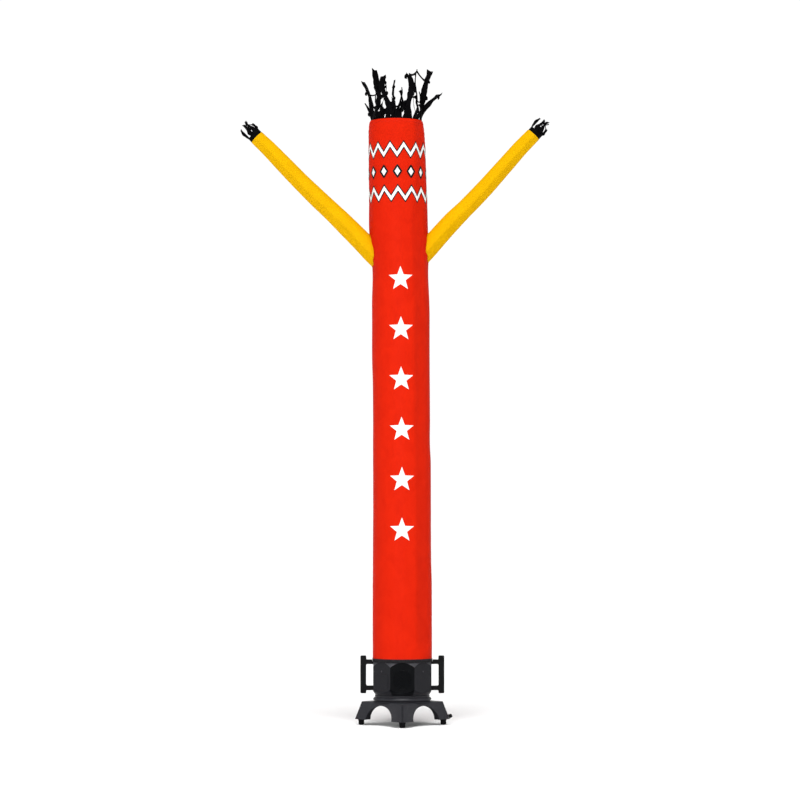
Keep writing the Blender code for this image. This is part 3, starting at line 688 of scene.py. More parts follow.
RED_NYLON = nylon("red_nylon_taffeta", "#C8210A", "#BD1C08")
YELLOW_NYLON = nylon("yellow_nylon_taffeta", "#D3A104", "#C99703")
BLACK_NYLON = nylon("black_nylon_taffeta", "#070608", "#040405", gloss=0.02)
BLACK_WEBBING = webbing("black_polyester_webbing", "#1C1A1C", "#2A282A")
WHITE_INK = ink("white_screen_ink", "#E4E3E3", "#DAD7D6")
BLACK_INK = ink("black_screen_ink", "#0C0A0B", "#1A1010")
RED_THREAD = thread("red_polyester_thread", "#B81A0C", "#8E1208")
YELLOW_THREAD = thread("yellow_polyester_thread", "#D89C06", "#B07C04")
# Grey of the housing and plate, also used as painted shade on the legs' corner ridges and arch insides.
GREY_ABS = moulded("grey_moulded_abs", "#17171B", "#1E1E22", 0.36, gloss=0.12)
# Painted light: a lighter copy of the housing's grey for the legs and neck, standing in for light from above.
LEGS_AND_NECK_PAINTED_LIGHT_ABS = moulded("grey_moulded_leg_abs", "#26262A", "#303034", 0.42, gloss=0.16)
# Painted light: a lighter grey for the housing's upper chamfers, where they face the light from above.
CHAMFER_PAINTED_LIGHT_ABS = moulded("rubbed_moulded_abs", "#36363A", "#48484C", 0.34, gloss=0.30)
# Dark plastic of the grille, also put on the housing's front flat and its lower chamfer as painted shade.
DARK_ABS_AND_PAINTED_SHADE = moulded("dark_moulded_abs", "#07080A", "#0C0D10", 0.34, gloss=0.04)
HANDLE_NYLON = moulded("black_moulded_handle_nylon", "#070708", "#101012", 0.38, gloss=0.08)
FOOT_RUBBER = moulded("black_foot_rubber", "#08080A", "#151516", 0.72, grain=900.0, gloss=0.08)
SCREW_STEEL = screw_steel("blackened_screw_steel", "#3A3A3E", "#6C6C72")


# ---------------------------------------------------------------- pieces


def new_object(name, build, at, uv_map=None):
    """An object in the scene, its mesh filled by a function that gets an empty bmesh."""
    shape = bmesh.new()
    if uv_map:
        shape.loops.layers.uv.new(uv_map)
    build(shape)
    shape.transform(at)
    mesh = bpy.data.meshes.new(name)
    shape.to_mesh(mesh)
    shape.free()
    made = bpy.data.objects.new(name, mesh)
    bpy.context.scene.collection.objects.link(made)
    return made


def piece(name, build, material, nodes=(), sharp_deg=60.0, at=AT_BLOWER):
    """A piece of the dancer, in its finish, riding on the one body."""
    made = new_object(name, build, at, "cloth")
    made.data.materials.append(material)
    made.data.shade_smooth()
    made.data.set_sharp_from_angle(angle=math.radians(sharp_deg))
    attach(made, "root")
    if nodes:
        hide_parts(*nodes)
    return made


def thicken(made, thickness, offset=-1.0):
    step = made.modifiers.new("thickness", "SOLIDIFY")
    step.thickness = thickness
    step.offset = offset
    step.use_even_offset = False


def soften(made, width, segments, angle_deg):
    """Rounds off the edges of a moulding."""
    step = made.modifiers.new("edges", "BEVEL")
    step.width = width
    step.segments = segments
    step.limit_method = "ANGLE"
    step.angle_limit = math.radians(angle_deg)
    step.harden_normals = False


def mapped(shape, face, places):
    """Gives a face's corners their places on the UV map."""
    uv = shape.loops.layers.uv["cloth"]
    for loop, place in zip(face.loops, places):
        loop[uv].uv = place


def web(shape, points, around=True, along=False, flip=False):
    """Faces through rows of points: closed around each row, and from the last row to the first, or not."""
    rows = [[shape.verts.new(point) for point in row] for row in points]
    faces = []
    for lower, upper in zip(rows, rows[1:] + rows[:1] if along else rows[1:]):
        for i in range(len(lower) if around else len(lower) - 1):
            j = (i + 1) % len(lower)
            second, last = (upper[i], lower[j]) if flip else (lower[j], upper[i])
            faces.append(shape.faces.new((lower[i], second, upper[j], last)))
    return rows, faces


def skin(shape, rings, round_m, heights, closed=True):
    """A skin through rings of points. Its UV map is in metres: around, and along."""
    count = len(rings[0])
    for n, face in enumerate(web(shape, rings, around=closed)[1]):
        r, i = divmod(n, count if closed else count - 1)
        corners = ((i, r), (i + 1, r), (i + 1, r + 1), (i, r + 1))
        mapped(shape, face, [(round_m * around / count, heights[along]) for around, along in corners])


def scrap(shape, points):
    """A scrap of cloth through rows of points, its UV map read off their X and Z."""
    for face in web(shape, points, around=False, flip=True)[1]:
        mapped(shape, face, [(vert.co.x, vert.co.z) for vert in face.verts])


# ---------------------------------------------------------------- the tube's cloth


@lru_cache(maxsize=None)
def outline(height):
    """How far the tube has leaned, and its width across."""
    return soft_rows(TUBE_ROWS, height, OUTLINE_SOFT)


def half_across(height):
    return outline(height)[1] / 2.0


def dent(height, angle):
    """How far the inflated cloth is pushed in."""
    pushed = 0.0
    for at, around, depth, half_height, half_width in TUBE_DENTS:
        turn = turned_from(math.degrees(angle), around)
        reach = math.hypot((height - at) / half_height, turn / half_width)
        pushed += depth * smooth(1.0 - reach / 2.0)
    return pushed * smooth((height - COLLAR_TOP) / DENTS_FADE[0]) * smooth((RIM_Z - height) / DENTS_FADE[1])


def sleeve_frame(side):
    """The sleeve's own axes: X across it towards the +X side, Y back, Z from root to cuff."""
    root, cuff = (Vector((SLEEVES[side][end][0], 0.0, SLEEVES[side][end][1])) for end in ("root", "cuff"))
    along = (cuff - root).normalized()
    across = Vector((0.0, 1.0, 0.0)).cross(along)
    turn = Matrix((across, along.cross(across), along)).transposed().to_4x4()
    return Matrix.Translation(root) @ turn, (cuff - root).length


SLEEVE_AXES = {side: sleeve_frame(side) for side in SLEEVES}
SLEEVE_BACK = {side: SLEEVE_AXES[side][0].inverted() for side in SLEEVES}


def pulled_creases(point):
    """Creases that each sleeve pulls in the tube's cloth, fanning out from its seam."""
    total = 0.0
    for side in SLEEVES:
        local = SLEEVE_BACK[side] @ point
        if local.z < PULL_BEHIND:
            continue
        beyond = max(0.0, math.hypot(local.x, local.y) - SLEEVES[side]["across"] / 2.0)
        turn = math.atan2(local.y, local.x)
        fan = math.sin(PULL_COUNT * turn + 1.3 + 1.5 * ripple(turn, beyond * 9.0, 2.0))
        total += (PULL_RISE * fan - PULL_SUNK) * math.exp(-beyond / PULL_REACH)
    return total


def tube_folds(height, angle):
    """The finer folds of the tube's cloth, outwards."""
    c, s = math.cos(angle), math.sin(angle)
    turn = math.degrees(angle) % 360.0
    waver = sum(swung(height, *row) for row in EDGE_WAVERS)
    waver += HEAD_TURN_DEG * smooth((height - HEAD_TURN_Z) / HEAD_TURN_OVER)
    strength = EDGE_LEAST + swung(height, *EDGE_SWELLS)
    folds = EDGE_RISE * strength * hump(turn, EDGE_DEG + waver, EDGE_WIDE_DEG)
    folds -= FLAT_DEEP * strength * hump(turn, FLAT_DEG + waver, FLAT_WIDE_DEG)
    for rise, across, up, shift in TUBE_RIPPLES:
        folds += rise * ripple(across * c, across * s, up * height + shift)
    low, high = PUCKERS_Z
    gathers = smooth((height - low) / PUCKERS_FADE[0]) * smooth((high - height) / PUCKERS_FADE[1])
    line = height / PUCKER_PITCH + 1.1 * ripple(2.0 * c, 2.0 * s, 4.0 * height)
    patchy = 0.55 + ripple(3.0 * c, 3.0 * s, 9.0 * height)
    folds += PUCKER_RISE * gathers * math.sin(2.0 * math.pi * line) * patchy
    if PULL_Z[0] < height < PULL_Z[1]:
        radius = half_across(height)
        folds += pulled_creases(Vector((outline(height)[0] + radius * c, radius * s, height)))
    return folds * smooth((height - COLLAR_TOP) / FOLDS_FADE[0]) * smooth((RIM_Z - height) / FOLDS_FADE[1])


def tube_radius(height, angle):
    return half_across(height) - dent(height, angle) + tube_folds(height, angle)


def tube_point(height, angle, grow=0.0):
    """A point of the tube's outer face, or grow outside it."""
    reach = tube_radius(height, angle) + grow
    return Vector((outline(height)[0] + reach * math.cos(angle), reach * math.sin(angle), height))


def make_tube():
    """The body: one tube of red cloth, its two ends turned in as hems, with a hole behind each sleeve."""
    turns = all_round(TUBE_SIDES)
    heights = steps(HEM_Z + HEM_UP, RIM_Z - RIM_ROWS[0], TUBE_STEP)
    heights += steps(RIM_Z - RIM_ROWS[1], RIM_Z, RIM_STEP)
    rings = [[tube_point(height, turn) for turn in turns] for height in heights]
    below = [[tube_point(HEM_Z + rise, t, -inset) for t in turns] for inset, rise in FOOT_HEM]
    above = []
    for inset, rise in RIM_HEM:
        above.append([tube_point(RIM_Z, t, -inset) + Vector((0.0, 0.0, rise)) for t in turns])
    along = [HEM_Z - 0.02 + rise for _, rise in FOOT_HEM] + heights
    along += [RIM_Z + 0.002 - rise for _, rise in RIM_HEM]

    def in_hole(face, side):
        local = SLEEVE_BACK[side] @ face.calc_center_median()
        inside = math.hypot(local.x, local.y) < SLEEVES[side]["across"] / 2.0 - HOLE_RIM
        return inside and SLEEVE_STARTS[0] < local.z < HOLE_DEEP

    def build(shape):
        skin(shape, below + rings + above, math.pi * TUBE_ROWS[0][2], along)
        holes = [face for face in shape.faces if any(in_hole(face, side) for side in SLEEVES)]
        bmesh.ops.delete(shape, geom=holes, context="FACES")

    tube = piece("body_tube_cloth", build, RED_NYLON, ["body_tube"])
    thicken(tube, NYLON)
    return tube


# ---------------------------------------------------------------- the sleeves


def sleeve_point(side, along, turn, grow=0.0):
    """A point of a sleeve's outer face, by metres along it and the turn around it."""
    axes, length = SLEEVE_AXES[side]
    across, rise = soft_rows(SLEEVE_ROWS[side], min(1.0, max(0.0, along / length)), OUTLINE_SOFT)
    way, seed = SLEEVES[side]["way"], SLEEVES[side]["seed"]
    c, s = math.cos(turn), math.sin(turn)
    folds = 0.0
    for depth, round_pace, pace, seeded in SLEEVE_RIPPLES:
        place = [round_pace * c, round_pace * s, pace * along]
        place[seeded] += seed
        folds += depth * ripple(*place)
    edge = 270.0 - way * SLEEVE_EDGE_DEG + SLEEVE_EDGE_WAVER[0] * ripple(SLEEVE_EDGE_WAVER[1] * along, seed)
    folds += SLEEVE_EDGE[0] * hump(math.degrees(turn), edge, SLEEVE_EDGE[1])
    folds -= SLEEVE_FLAT[0] * hump(math.degrees(turn), edge - way * SLEEVE_FLAT_DEG, SLEEVE_FLAT[1])
    gather, count, reach = SLEEVE_GATHERS
    folds += gather * math.sin(count * turn + seed) * math.exp(-max(0.0, along) / reach)
    folds *= smooth((length - along) / SLEEVE_FADE)
    radius = SLEEVES[side]["across"] / 2.0 * across + folds + grow
    return axes @ Vector((rise * way + radius * c, radius * s, along))


def beyond_tube(point):
    """How far outside the tube's face a point is."""
    off = point.x - outline(point.z)[0]
    return math.hypot(off, point.y) - tube_radius(point.z, math.atan2(point.y, off))


@lru_cache(maxsize=None)
def sleeve_start(side, turn):
    """Where a line along the sleeve comes out of the tube's face."""
    low, high = SLEEVE_STARTS
    for _ in range(22):
        middle = (low + high) / 2.0
        if beyond_tube(sleeve_point(side, middle, turn)) < SLEEVE_GAP:
            low = middle
        else:
            high = middle
    return high


def make_sleeve(side):
    """An arm: a yellow sleeve seamed to the tube's face, its cuff turned in."""
    length = SLEEVE_AXES[side][1]
    turns = all_round(SLEEVE_SIDES)
    count = round(length / SLEEVE_STEP)
    starts = [sleeve_start(side, turn) for turn in turns]
    rings = []
    for k in range(count + 1):
        rings.append([sleeve_point(side, blend(low, length, k / count), t) for low, t in zip(starts, turns)])
    for inset, rise in CUFF_HEM:
        rings.append([sleeve_point(side, length + rise, t, -inset) for t in turns])
    along = [length * k / count for k in range(count + 1)] + [length + 0.002 - rise for _, rise in CUFF_HEM]
    round_m = math.pi * SLEEVES[side]["across"] * SLEEVE_MEAN

    def build(shape):
        skin(shape, rings, round_m, along)

    sleeve = piece(f"arm_{side}_cloth", build, YELLOW_NYLON, [f"arm_{side}"])
    thicken(sleeve, NYLON)
    return sleeve


# ---------------------------------------------------------------- fringes


def make_fringe(name, axes, radius, band, strips, node, ties, torn):
    """One sheet of black cloth: a band bent to a ring, cut into strips that the air blows out and frays."""
    chance = random.Random(name)
    spin = axes.to_3x3()
    up = spin @ Vector((0.0, 0.0, 1.0))
    scale = min(1.0, radius / FULL_RADIUS)
    columns = range(STRIP_COLUMNS + 1)
    shares = [2.0 * j / STRIP_COLUMNS - 1.0 for j in columns]

    def ring_point(angle, height):
        swell = FRINGE_SWELL * ripple(6.0 * math.cos(angle), 6.0 * math.sin(angle), 20.0 * height)
        return axes @ polar(radius + swell, angle, height)

    def tab(shape, at, out, lift, long):
        """A blunt torn tab on a strip's edge, hanging on by its root."""
        rows = []
        for reach, low, high in TAB_ROWS:
            root = at + out * (long * reach)
            rows.append([root + lift * (long * v) for v in (low, (low + high) / 2.0, high)])
        scrap(shape, rows)

    def strip(shape, row):
        around, rise, drift_x, drift_y, bow, sway, root_width, tip_width, twist = row
        centre = math.radians(around)
        half = root_width / 2.0 / radius
        radial = spin @ polar(1.0, centre)
        side = spin @ Vector((-math.sin(centre), math.cos(centre), 0.0))
        drift = spin @ Vector((drift_x, drift_y, 0.0))
        angles = [blend(centre - half, centre + half, j / STRIP_COLUMNS) for j in columns]
        rings = [[ring_point(angle, band[1]) for angle in angles]]
        foot = (rings[0][0] + rings[0][-1]) / 2.0
        edges = []
        for k in range(1, STRIP_STEPS + 1):
            t = k / STRIP_STEPS
            middle = foot + up * (rise * t) + drift * t**1.5
            middle += radial * (bow * math.sin(math.pi * t)) + side * (sway * math.sin(2.0 * math.pi * t))
            middle += side * (STRIP_SHAKE * scale * ripple(9.0 * rise * t * 6.0, around) * smooth(t * 4.0))
            across = Matrix.Rotation(math.radians(twist) * smooth(2.0 * t), 3, up) @ side
            face = across.cross(up)
            width = blend(root_width, tip_width, t**STRIP_TAPER)
            width *= 1.0 + STRIP_RAGGED * math.sin(11.0 * t + around)
            curl = width * (STRIP_CURL[0] * math.sin(5.0 * t + around) - STRIP_CURL[1])
            fray = smooth(t * 5.0) * (TORN if torn else CUT)
            left = width / 2.0 * (1.0 + fray * ripple(30.0 * rise * t, around, 1.0))
            right = width / 2.0 * (1.0 + fray * ripple(30.0 * rise * t, around, 7.0))
            ring = []
            for u in shares:
                reach = right * u if u > 0.0 else left * u
                ring.append(middle + across * reach + face * (curl * (1.0 - u * u)))
            rings.append(ring)
            edges.append((ring[0], ring[-1], across, rise * t))
        slant = chance.uniform(*TIP_SLANT) * tip_width
        notch = chance.uniform(*TIP_NOTCH) * tip_width
        rings[-1] = [p + up * (slant * u + notch * (abs(u) - 0.4)) for p, u in zip(rings[-1], shares)]
        heights = [rise * k / STRIP_STEPS for k in range(STRIP_STEPS + 1)]
        skin(shape, rings, root_width, heights, closed=False)
        reached = TAB_EVERY * chance.uniform(*TAB_FIRST)
        for low, high, across, at in edges[2:-1]:
            if not torn or at < reached:
                continue
            reached = at + TAB_EVERY * chance.uniform(*TAB_NEXT)
            to_high = chance.random() < 0.5
            long = chance.uniform(*TAB_LONG)
            lift = up if chance.random() < TABS_UP else -up
            tab(shape, high if to_high else low, across if to_high else -across, lift, long)
        return edges

    def tie(shape, ends, wide):
        """A scrap of cloth that still joins two strips, sagging a little between them."""
        rows = []
        for k in range(TIE_STEPS + 1):
            arch = math.sin(math.pi * (k / TIE_STEPS))
            middle = ends[0].lerp(ends[1], k / TIE_STEPS) - up * (TIE_SAG * scale * arch)
            half = wide / 2.0 * (1.25 - 0.5 * arch)
            rows.append([middle + up * v for v in (-half, 0.0, half)])
        scrap(shape, rows)

    def build(shape):
        sides = max(72, round(2.0 * math.pi * radius / FRINGE_STEP))
        heights = steps(*band, FRINGE_ROWS)
        rings = [[ring_point(t, height) for t in all_round(sides)] for height in heights]
        skin(shape, rings, 2.0 * math.pi * radius, heights)
        made = [strip(shape, row) for row in strips]
        for one, along_one, other, along_other, wide in ties:
            ends = []
            for edges, along in ((made[one], along_one), (made[other], along_other)):
                low, high, _, _ = edges[min(len(edges) - 1, round(along * len(edges)))]
                ends.append((low + high) / 2.0)
            tie(shape, ends, wide)

    made = piece(name, build, BLACK_NYLON, [node], 70.0)
    thicken(made, STRIP_NYLON, 0.0)
    return made


# ---------------------------------------------------------------- strap, seams and stitching


def make_strap():
    """Webbing drawn tight around the hem, its edges rolled."""
    inner, outer = STRAP_FACE
    low, high = STRAP_Z
    edge = ((inner, 0.0006), (inner + 0.0005, 0.0), (outer - 0.0006, 0.0), (outer, 0.0010))
    section = [(radius, low + rise) for radius, rise in edge]
    section.append((outer + STRAP_CROWN, (low + high) / 2.0))
    section += [(radius, high - rise) for radius, rise in reversed(edge)]

    def build(shape):
        rows = [[polar(radius, t, z) for radius, z in section] for t in all_round(STRAP_SIDES)]
        for n, face in enumerate(web(shape, rows, along=True, flip=True)[1]):
            i, a = divmod(n, len(section))
            corners = ((i, a), (i + 1, a), (i + 1, a + 1), (i, a + 1))
            places = [(2.0 * math.pi * outer * turn / STRAP_SIDES, 0.0016 * part) for turn, part in corners]
            mapped(shape, face, places)
        bmesh.ops.recalc_face_normals(shape, faces=shape.faces)

    return piece("hem_strap", build, BLACK_WEBBING, ["base_strap"])


def rod(shape, points, radius, closed=False, sides=6):
    """A round thread or cord through points, open ones rounded off at their ends."""
    count = len(points)
    rings = []
    for k, here in enumerate(points):
        before = points[k - 1] if closed or k > 0 else here
        after = points[(k + 1) % count] if closed or k < count - 1 else here
        way = (after - before).normalized()
        first = (first - way * first.dot(way)).normalized() if rings else way.orthogonal().normalized()
        second = way.cross(first)
        thin = 1.0 if closed or 0 < k < count - 1 else THREAD_END
        ring = [here + (first * math.cos(t) + second * math.sin(t)) * radius * thin for t in all_round(sides)]
        rings.append(ring)
    rows, _ = web(shape, rings, along=closed)
    if not closed:
        shape.faces.new(list(reversed(rows[0])))
        shape.faces.new(rows[-1])


def sewn(shape, place, length):
    """A row of stitches along a line given by metres, each diving into the cloth at both ends."""
    count = max(1, round(length / STITCH_PITCH))
    for k in range(count):
        start = length * k / count
        rod(shape, [place(start + STITCH * share, sink) for share, sink in STITCH_DIVE], THREAD, sides=5)


def hem_stitches():
    """Rows of stitches around the foot's hem and the rim's."""

    def build(shape):
        for height in HEM_STITCH_Z + RIM_STITCH_Z:
            radius = half_across(height)

            def place(metres, sink, height=height, radius=radius):
                return tube_point(height, metres / radius, sink * THREAD)

            sewn(shape, place, 2.0 * math.pi * radius)

    return piece("body_hem_stitches", build, RED_THREAD)


def back_seam():
    """The tube's one long seam, up its back: a felled lap between two rows of stitches."""
    heights = steps(HEM_Z + LAP_ENDS[0], RIM_Z - LAP_ENDS[1], LAP_STEP)

    def face_point(height, across, lift):
        return tube_point(height, math.radians(90.0) + across / half_across(height), lift)

    def build(shape):
        rings = []
        for height in heights:
            pull = LAP_PULL * ripple(40.0 * height, 2.0)
            rings.append([face_point(height, LAP_HALF * share, lift + pull) for share, lift in LAP_COLUMNS])
        skin(shape, rings, 2.0 * LAP_HALF, heights, closed=False)

    def threads(shape):
        for across in (-LAP_HALF * LAP_STITCHES, LAP_HALF * LAP_STITCHES):

            def place(metres, sink, across=across):
                return face_point(heights[0] + metres, across, LAP_STITCH_LIFT + sink * THREAD)

            sewn(shape, place, heights[-1] - heights[0] - STITCH)

    lap = piece("back_seam_lap", build, RED_NYLON)
    stitches = piece("back_seam_stitches", threads, RED_THREAD)
    return lap, stitches


def sleeve_seam(side):
    """The seam around a sleeve's root: a corded edge of yellow cloth, with the stitches beside it."""
    turns = all_round(CORD_ROUND)
    line = [sleeve_point(side, sleeve_start(side, t) + CORD_ALONG, t, CORD_LIFT) for t in turns]
    radius = SLEEVES[side]["across"] / 2.0
    cuff = radius * SLEEVE_ROWS[side][-1][1]

    def build(shape):
        rod(shape, line, CORD_RADIUS, closed=True, sides=8)

    def threads(shape):
        def at_root(metres, sink):
            turn = metres / radius
            return sleeve_point(side, sleeve_start(side, turn) + ROOT_STITCH, turn, sink * THREAD)

        def at_cuff(metres, sink):
            return sleeve_point(side, SLEEVE_AXES[side][1] - CUFF_STITCH, metres / cuff, sink * THREAD)

        sewn(shape, at_root, 2.0 * math.pi * radius)
        sewn(shape, at_cuff, 2.0 * math.pi * cuff)

    edge = piece(f"arm_{side}_seam", build, YELLOW_NYLON)
    stitches = piece(f"arm_{side}_stitches", threads, YELLOW_THREAD)
    return edge, stitches


# ---------------------------------------------------------------- prints


def on_front(across, height, lift):
    """A place on the tube's front by metres across it and its height."""
    return tube_point(height, math.radians(270.0) + across / half_across(height), lift)


def patch(shape, centre, edge, lift, rings=9):
    """Ink filling an outline that is seen whole from its centre."""
    middle = shape.verts.new(on_front(*centre, lift))
    flat = {middle: centre}
    rows = []
    for r in range(1, rings + 1):
        row = []
        for corner in edge:
            place = tuple(blend(a, b, r / rings) for a, b in zip(centre, corner))
            vert = shape.verts.new(on_front(*place, lift))
            flat[vert] = place
            row.append(vert)
        rows.append(row)
    faces = []
    for i in range(len(edge)):
        j = (i + 1) % len(edge)
        faces.append(shape.faces.new((middle, rows[0][i], rows[0][j])))
        for lower, upper in zip(rows, rows[1:]):
            faces.append(shape.faces.new((lower[i], upper[i], upper[j], lower[j])))
    for face in faces:
        mapped(shape, face, [flat[vert] for vert in face.verts])


def stroke(shape, path, wide, lift):
    """An inked line along a closed path."""
    spots = []
    for k, here in enumerate(path):
        way = (Vector(path[(k + 1) % len(path)]) - Vector(path[k - 1])).normalized()
        normal = Vector((-way.y, way.x))
        spots.append([Vector(here) + normal * (side * wide / 2.0) for side in (-1.0, 0.0, 1.0)])
    points = [[on_front(*spot, lift) for spot in row] for row in spots]
    rows, faces = web(shape, points, around=False, along=True, flip=True)
    flat = dict(zip(sum(rows, []), sum(spots, [])))
    for face in faces:
        mapped(shape, face, [flat[vert] for vert in face.verts])


def walked(corners, count=7):
    """A closed outline through these corners, its sides walked in short steps."""
    edge = []
    for corner, following in zip(corners, corners[1:] + corners[:1]):
        edge += [tuple(corner.lerp(following, n / count)) for n in range(count)]
    return edge


def star_edge(height):
    """A plain five-pointed star."""
    corners = []
    for k in range(10):
        turn = math.pi / 2.0 + k * math.pi / 5.0
        radius = STAR_IN if k % 2 else STAR_OUT
        corners.append(Vector((radius * math.cos(turn), height + radius * math.sin(turn))))
    return walked(corners)


def lozenge_edge(across):
    half_wide, half_high = LOZENGE_HALF
    ways = ((1.0, 0.0), (0.0, 1.0), (-1.0, 0.0), (0.0, -1.0))
    return walked([Vector((across + x * half_wide, LOZENGE_Z + z * half_high)) for x, z in ways])


def zigzag(shape, middle, flip, low, high):
    """One strip of ink zigzagging around the tube, from one side of its back seam to the other."""
    columns = BAND_REPEATS * 12
    gap = BAND_SEAM_GAP / half_across(middle) / (2.0 * math.pi)
    shares = sorted({gap, 1.0 - gap} | {k / columns for k in range(1, columns)})
    rises = [blend(low, high, k / 3.0) for k in range(4)]
    rings = []
    for rise in rises:
        ring = []
        for share in shares:
            swing = 2.0 * abs(2.0 * (share * BAND_REPEATS % 1.0) - 1.0) - 1.0
            height = middle + flip * swing * BAND_RISE + rise
            ring.append(tube_point(height, math.pi / 2.0 + 2.0 * math.pi * share, INK_LIFT))
        rings.append(ring)
    skin(shape, rings, 2.0 * math.pi * outline(middle)[1] / 2.0, rises, closed=False)


def make_prints():
    """Zigzag bands with lozenges around the head and a column of stars, screen-printed on the cloth."""
    pitch = 2.0 * math.pi * half_across(LOZENGE_Z) / BAND_REPEATS
    places = [pitch * (k - BAND_REPEATS // 2) for k in range(BAND_REPEATS)]
    bands = tuple(zip(BAND_HEIGHTS, (1.0, -1.0)))
    half = BAND_WIDE / 2.0

    def whites(shape):
        for middle, flip in bands:
            zigzag(shape, middle, flip, -half, half)
        for across in places:
            patch(shape, (across, LOZENGE_Z), lozenge_edge(across), INK_LIFT, rings=4)

    def blacks(shape):
        for middle, flip in bands:
            zigzag(shape, middle, flip, half, half + BAND_EDGE)
            zigzag(shape, middle, flip, -half - BAND_EDGE, -half)
        for across in places:
            stroke(shape, lozenge_edge(across), BAND_EDGE, LINE_LIFT)

    def stars(shape):
        for height in STARS_Z:
            patch(shape, (0.0, height), star_edge(height), INK_LIFT)

    return [
        piece("head_bands_white", whites, WHITE_INK),
        piece("head_bands_black", blacks, BLACK_INK),
        piece("star_prints", stars, WHITE_INK),
    ]


# ---------------------------------------------------------------- the blower


def settle(made, tools=()):
    """Keeps a piece's mesh as its modifiers leave it, and takes the cutting tools away."""
    bpy.context.view_layer.update()
    graph = bpy.context.evaluated_depsgraph_get()
    mesh = bpy.data.meshes.new_from_object(made.evaluated_get(graph))
    made.modifiers.clear()
    old = made.data
    made.data = mesh
    bpy.data.meshes.remove(old)
    for tool in tools:
        bpy.data.objects.remove(tool, do_unlink=True)


def tool_for(made, name, build, operation="DIFFERENCE"):
    """A shape that cuts or joins a piece."""
    tool = new_object(name, build, AT_BLOWER)
    tool.hide_render = True
    step = made.modifiers.new(name, "BOOLEAN")
    step.object = tool
    step.operation = operation
    step.solver = "EXACT"
    return tool


def turned(shape, profile, sides=TURNED_SIDES, closed=True):
    """A profile of radius and height, turned about Z."""
    made = []
    for radius, height in profile:
        ring = [polar(radius, t, height) for t in all_round(sides)] if radius else [(0.0, 0.0, height)]
        made.append([shape.verts.new(point) for point in ring])
    pairs = list(zip(made, made[1:]))
    if closed:
        pairs.append((made[-1], made[0]))
    for lower, upper in pairs:
        for i in range(sides):
            j = (i + 1) % sides
            around = ((lower, i), (lower, j), (upper, j), (upper, i))
            corners = list(dict.fromkeys(ring[n % len(ring)] for ring, n in around))
            if len(corners) > 2:
                mapped(shape, shape.faces.new(corners), [(vert.co.x, vert.co.z) for vert in corners])
    bmesh.ops.recalc_face_normals(shape, faces=shape.faces)


def cone(shape, sides, low, high, radius_low, radius_high, at=Matrix()):
    """A cone, or a pyramid or prism with few sides, standing about Z."""
    bmesh.ops.create_cone(
        shape,
        cap_ends=True,
        segments=sides,
        radius1=radius_low,
        radius2=radius_high,
        depth=high - low,
        matrix=at @ Matrix.Translation((0.0, 0.0, (low + high) / 2.0)),
    )


def bored(low, high, radius):
    """A round tool about the blower's axis."""
    return lambda shape: cone(shape, TURNED_SIDES, low, high, radius, radius)


def make_housing():
    """The eight-sided moulding: a turned blank cut to eight flats, with its collar and the air's way."""
    low, high = HOUSING_Z
    corner = HOUSING_FLATS / 2.0 / math.cos(math.pi / 8.0)
    blank = corner + 0.01
    profile = (
        (0.0, high),
        (CHAMFER_TOP[0], high),
        (blank, high - CHAMFER_TOP[1] * (blank - CHAMFER_TOP[0])),
        (blank, low + CHAMFER_FOOT[1] * (blank - CHAMFER_FOOT[0])),
        (CHAMFER_FOOT[0], low),
        (0.0, low),
    )

    def build(shape):
        turned(shape, profile, closed=False)

    def flats(shape):
        cone(shape, 8, low - 0.05, high + 0.05, corner, corner)
        bmesh.ops.rotate(shape, verts=shape.verts, matrix=Matrix.Rotation(math.pi / 8.0, 3, "Z"))

    housing = piece("blower_housing_shell", build, GREY_ABS, ["blower_housing"], 30.0)
    tools = [
        tool_for(housing, "flats", flats, "INTERSECT"),
        tool_for(housing, "collar", bored(high - 0.02, COLLAR_TOP, COLLAR_RADIUS), "UNION"),
        tool_for(housing, "duct", bored(low - 0.1, COLLAR_TOP + 0.1, HOUSING_BORE)),
    ]
    soften(housing, HOUSING_EDGE, 2, 20.0)
    settle(housing, tools)
    # Painted light on the upper chamfer, a lighter grey; painted shade on the front flat and the chamfer
    # under it.
    housing.data.materials.append(DARK_ABS_AND_PAINTED_SHADE)
    housing.data.materials.append(CHAMFER_PAINTED_LIGHT_ABS)
    for face in housing.data.polygons:
        off = face.center.x - BLOWER_X
        above = CHAMFER_LEAN[0] < face.normal.z < CHAMFER_LEAN[1]
        if above and COLLAR_RADIUS < math.hypot(off, face.center.y):
            face.material_index = 2
        front = face.normal.y < -0.999 and face.center.y < -HOUSING_FLATS / 2.0 + 0.001
        below = face.normal.z < -CHAMFER_LEAN[0] and abs(off) < -face.center.y * math.tan(math.pi / 8.0)
        if front or below:
            face.material_index = 1


def make_neck():
    """The turned neck between the housing and the legs."""
    foot = LEGS_Z[1]
    top = HOUSING_Z[0] - NECK_GAP
    outer = [(NECK_PROFILE[0][0], top)] + [(radius, foot + height) for radius, height in NECK_PROFILE]
    profile = outer + [(NECK_BORE, foot + NECK_GAP), (NECK_BORE, top)]

    def build(shape):
        turned(shape, profile)

    # Painted light: the neck gets the lighter grey that stands in for light from above.
    neck = piece("blower_neck", build, LEGS_AND_NECK_PAINTED_LIGHT_ABS, ["neck_ring"], 40.0)
    soften(neck, NECK_EDGE, 2, 30.0)
    settle(neck)


def in_arch(at):
    """Whether a point lies on the inside of an arch, where painted shade goes."""
    rise = (at.z - ARCH_SPRING) / (ARCH_TOP - ARCH_SPRING)
    for way in (-1.0, 1.0):
        across = (at.x - BLOWER_X + way * at.y) / math.sqrt(2.0) / ARCH_HALF
        if abs(math.hypot(across, rise) - 1.0) < ARCH_NEAR and rise > 0.02:
            return True
    return False


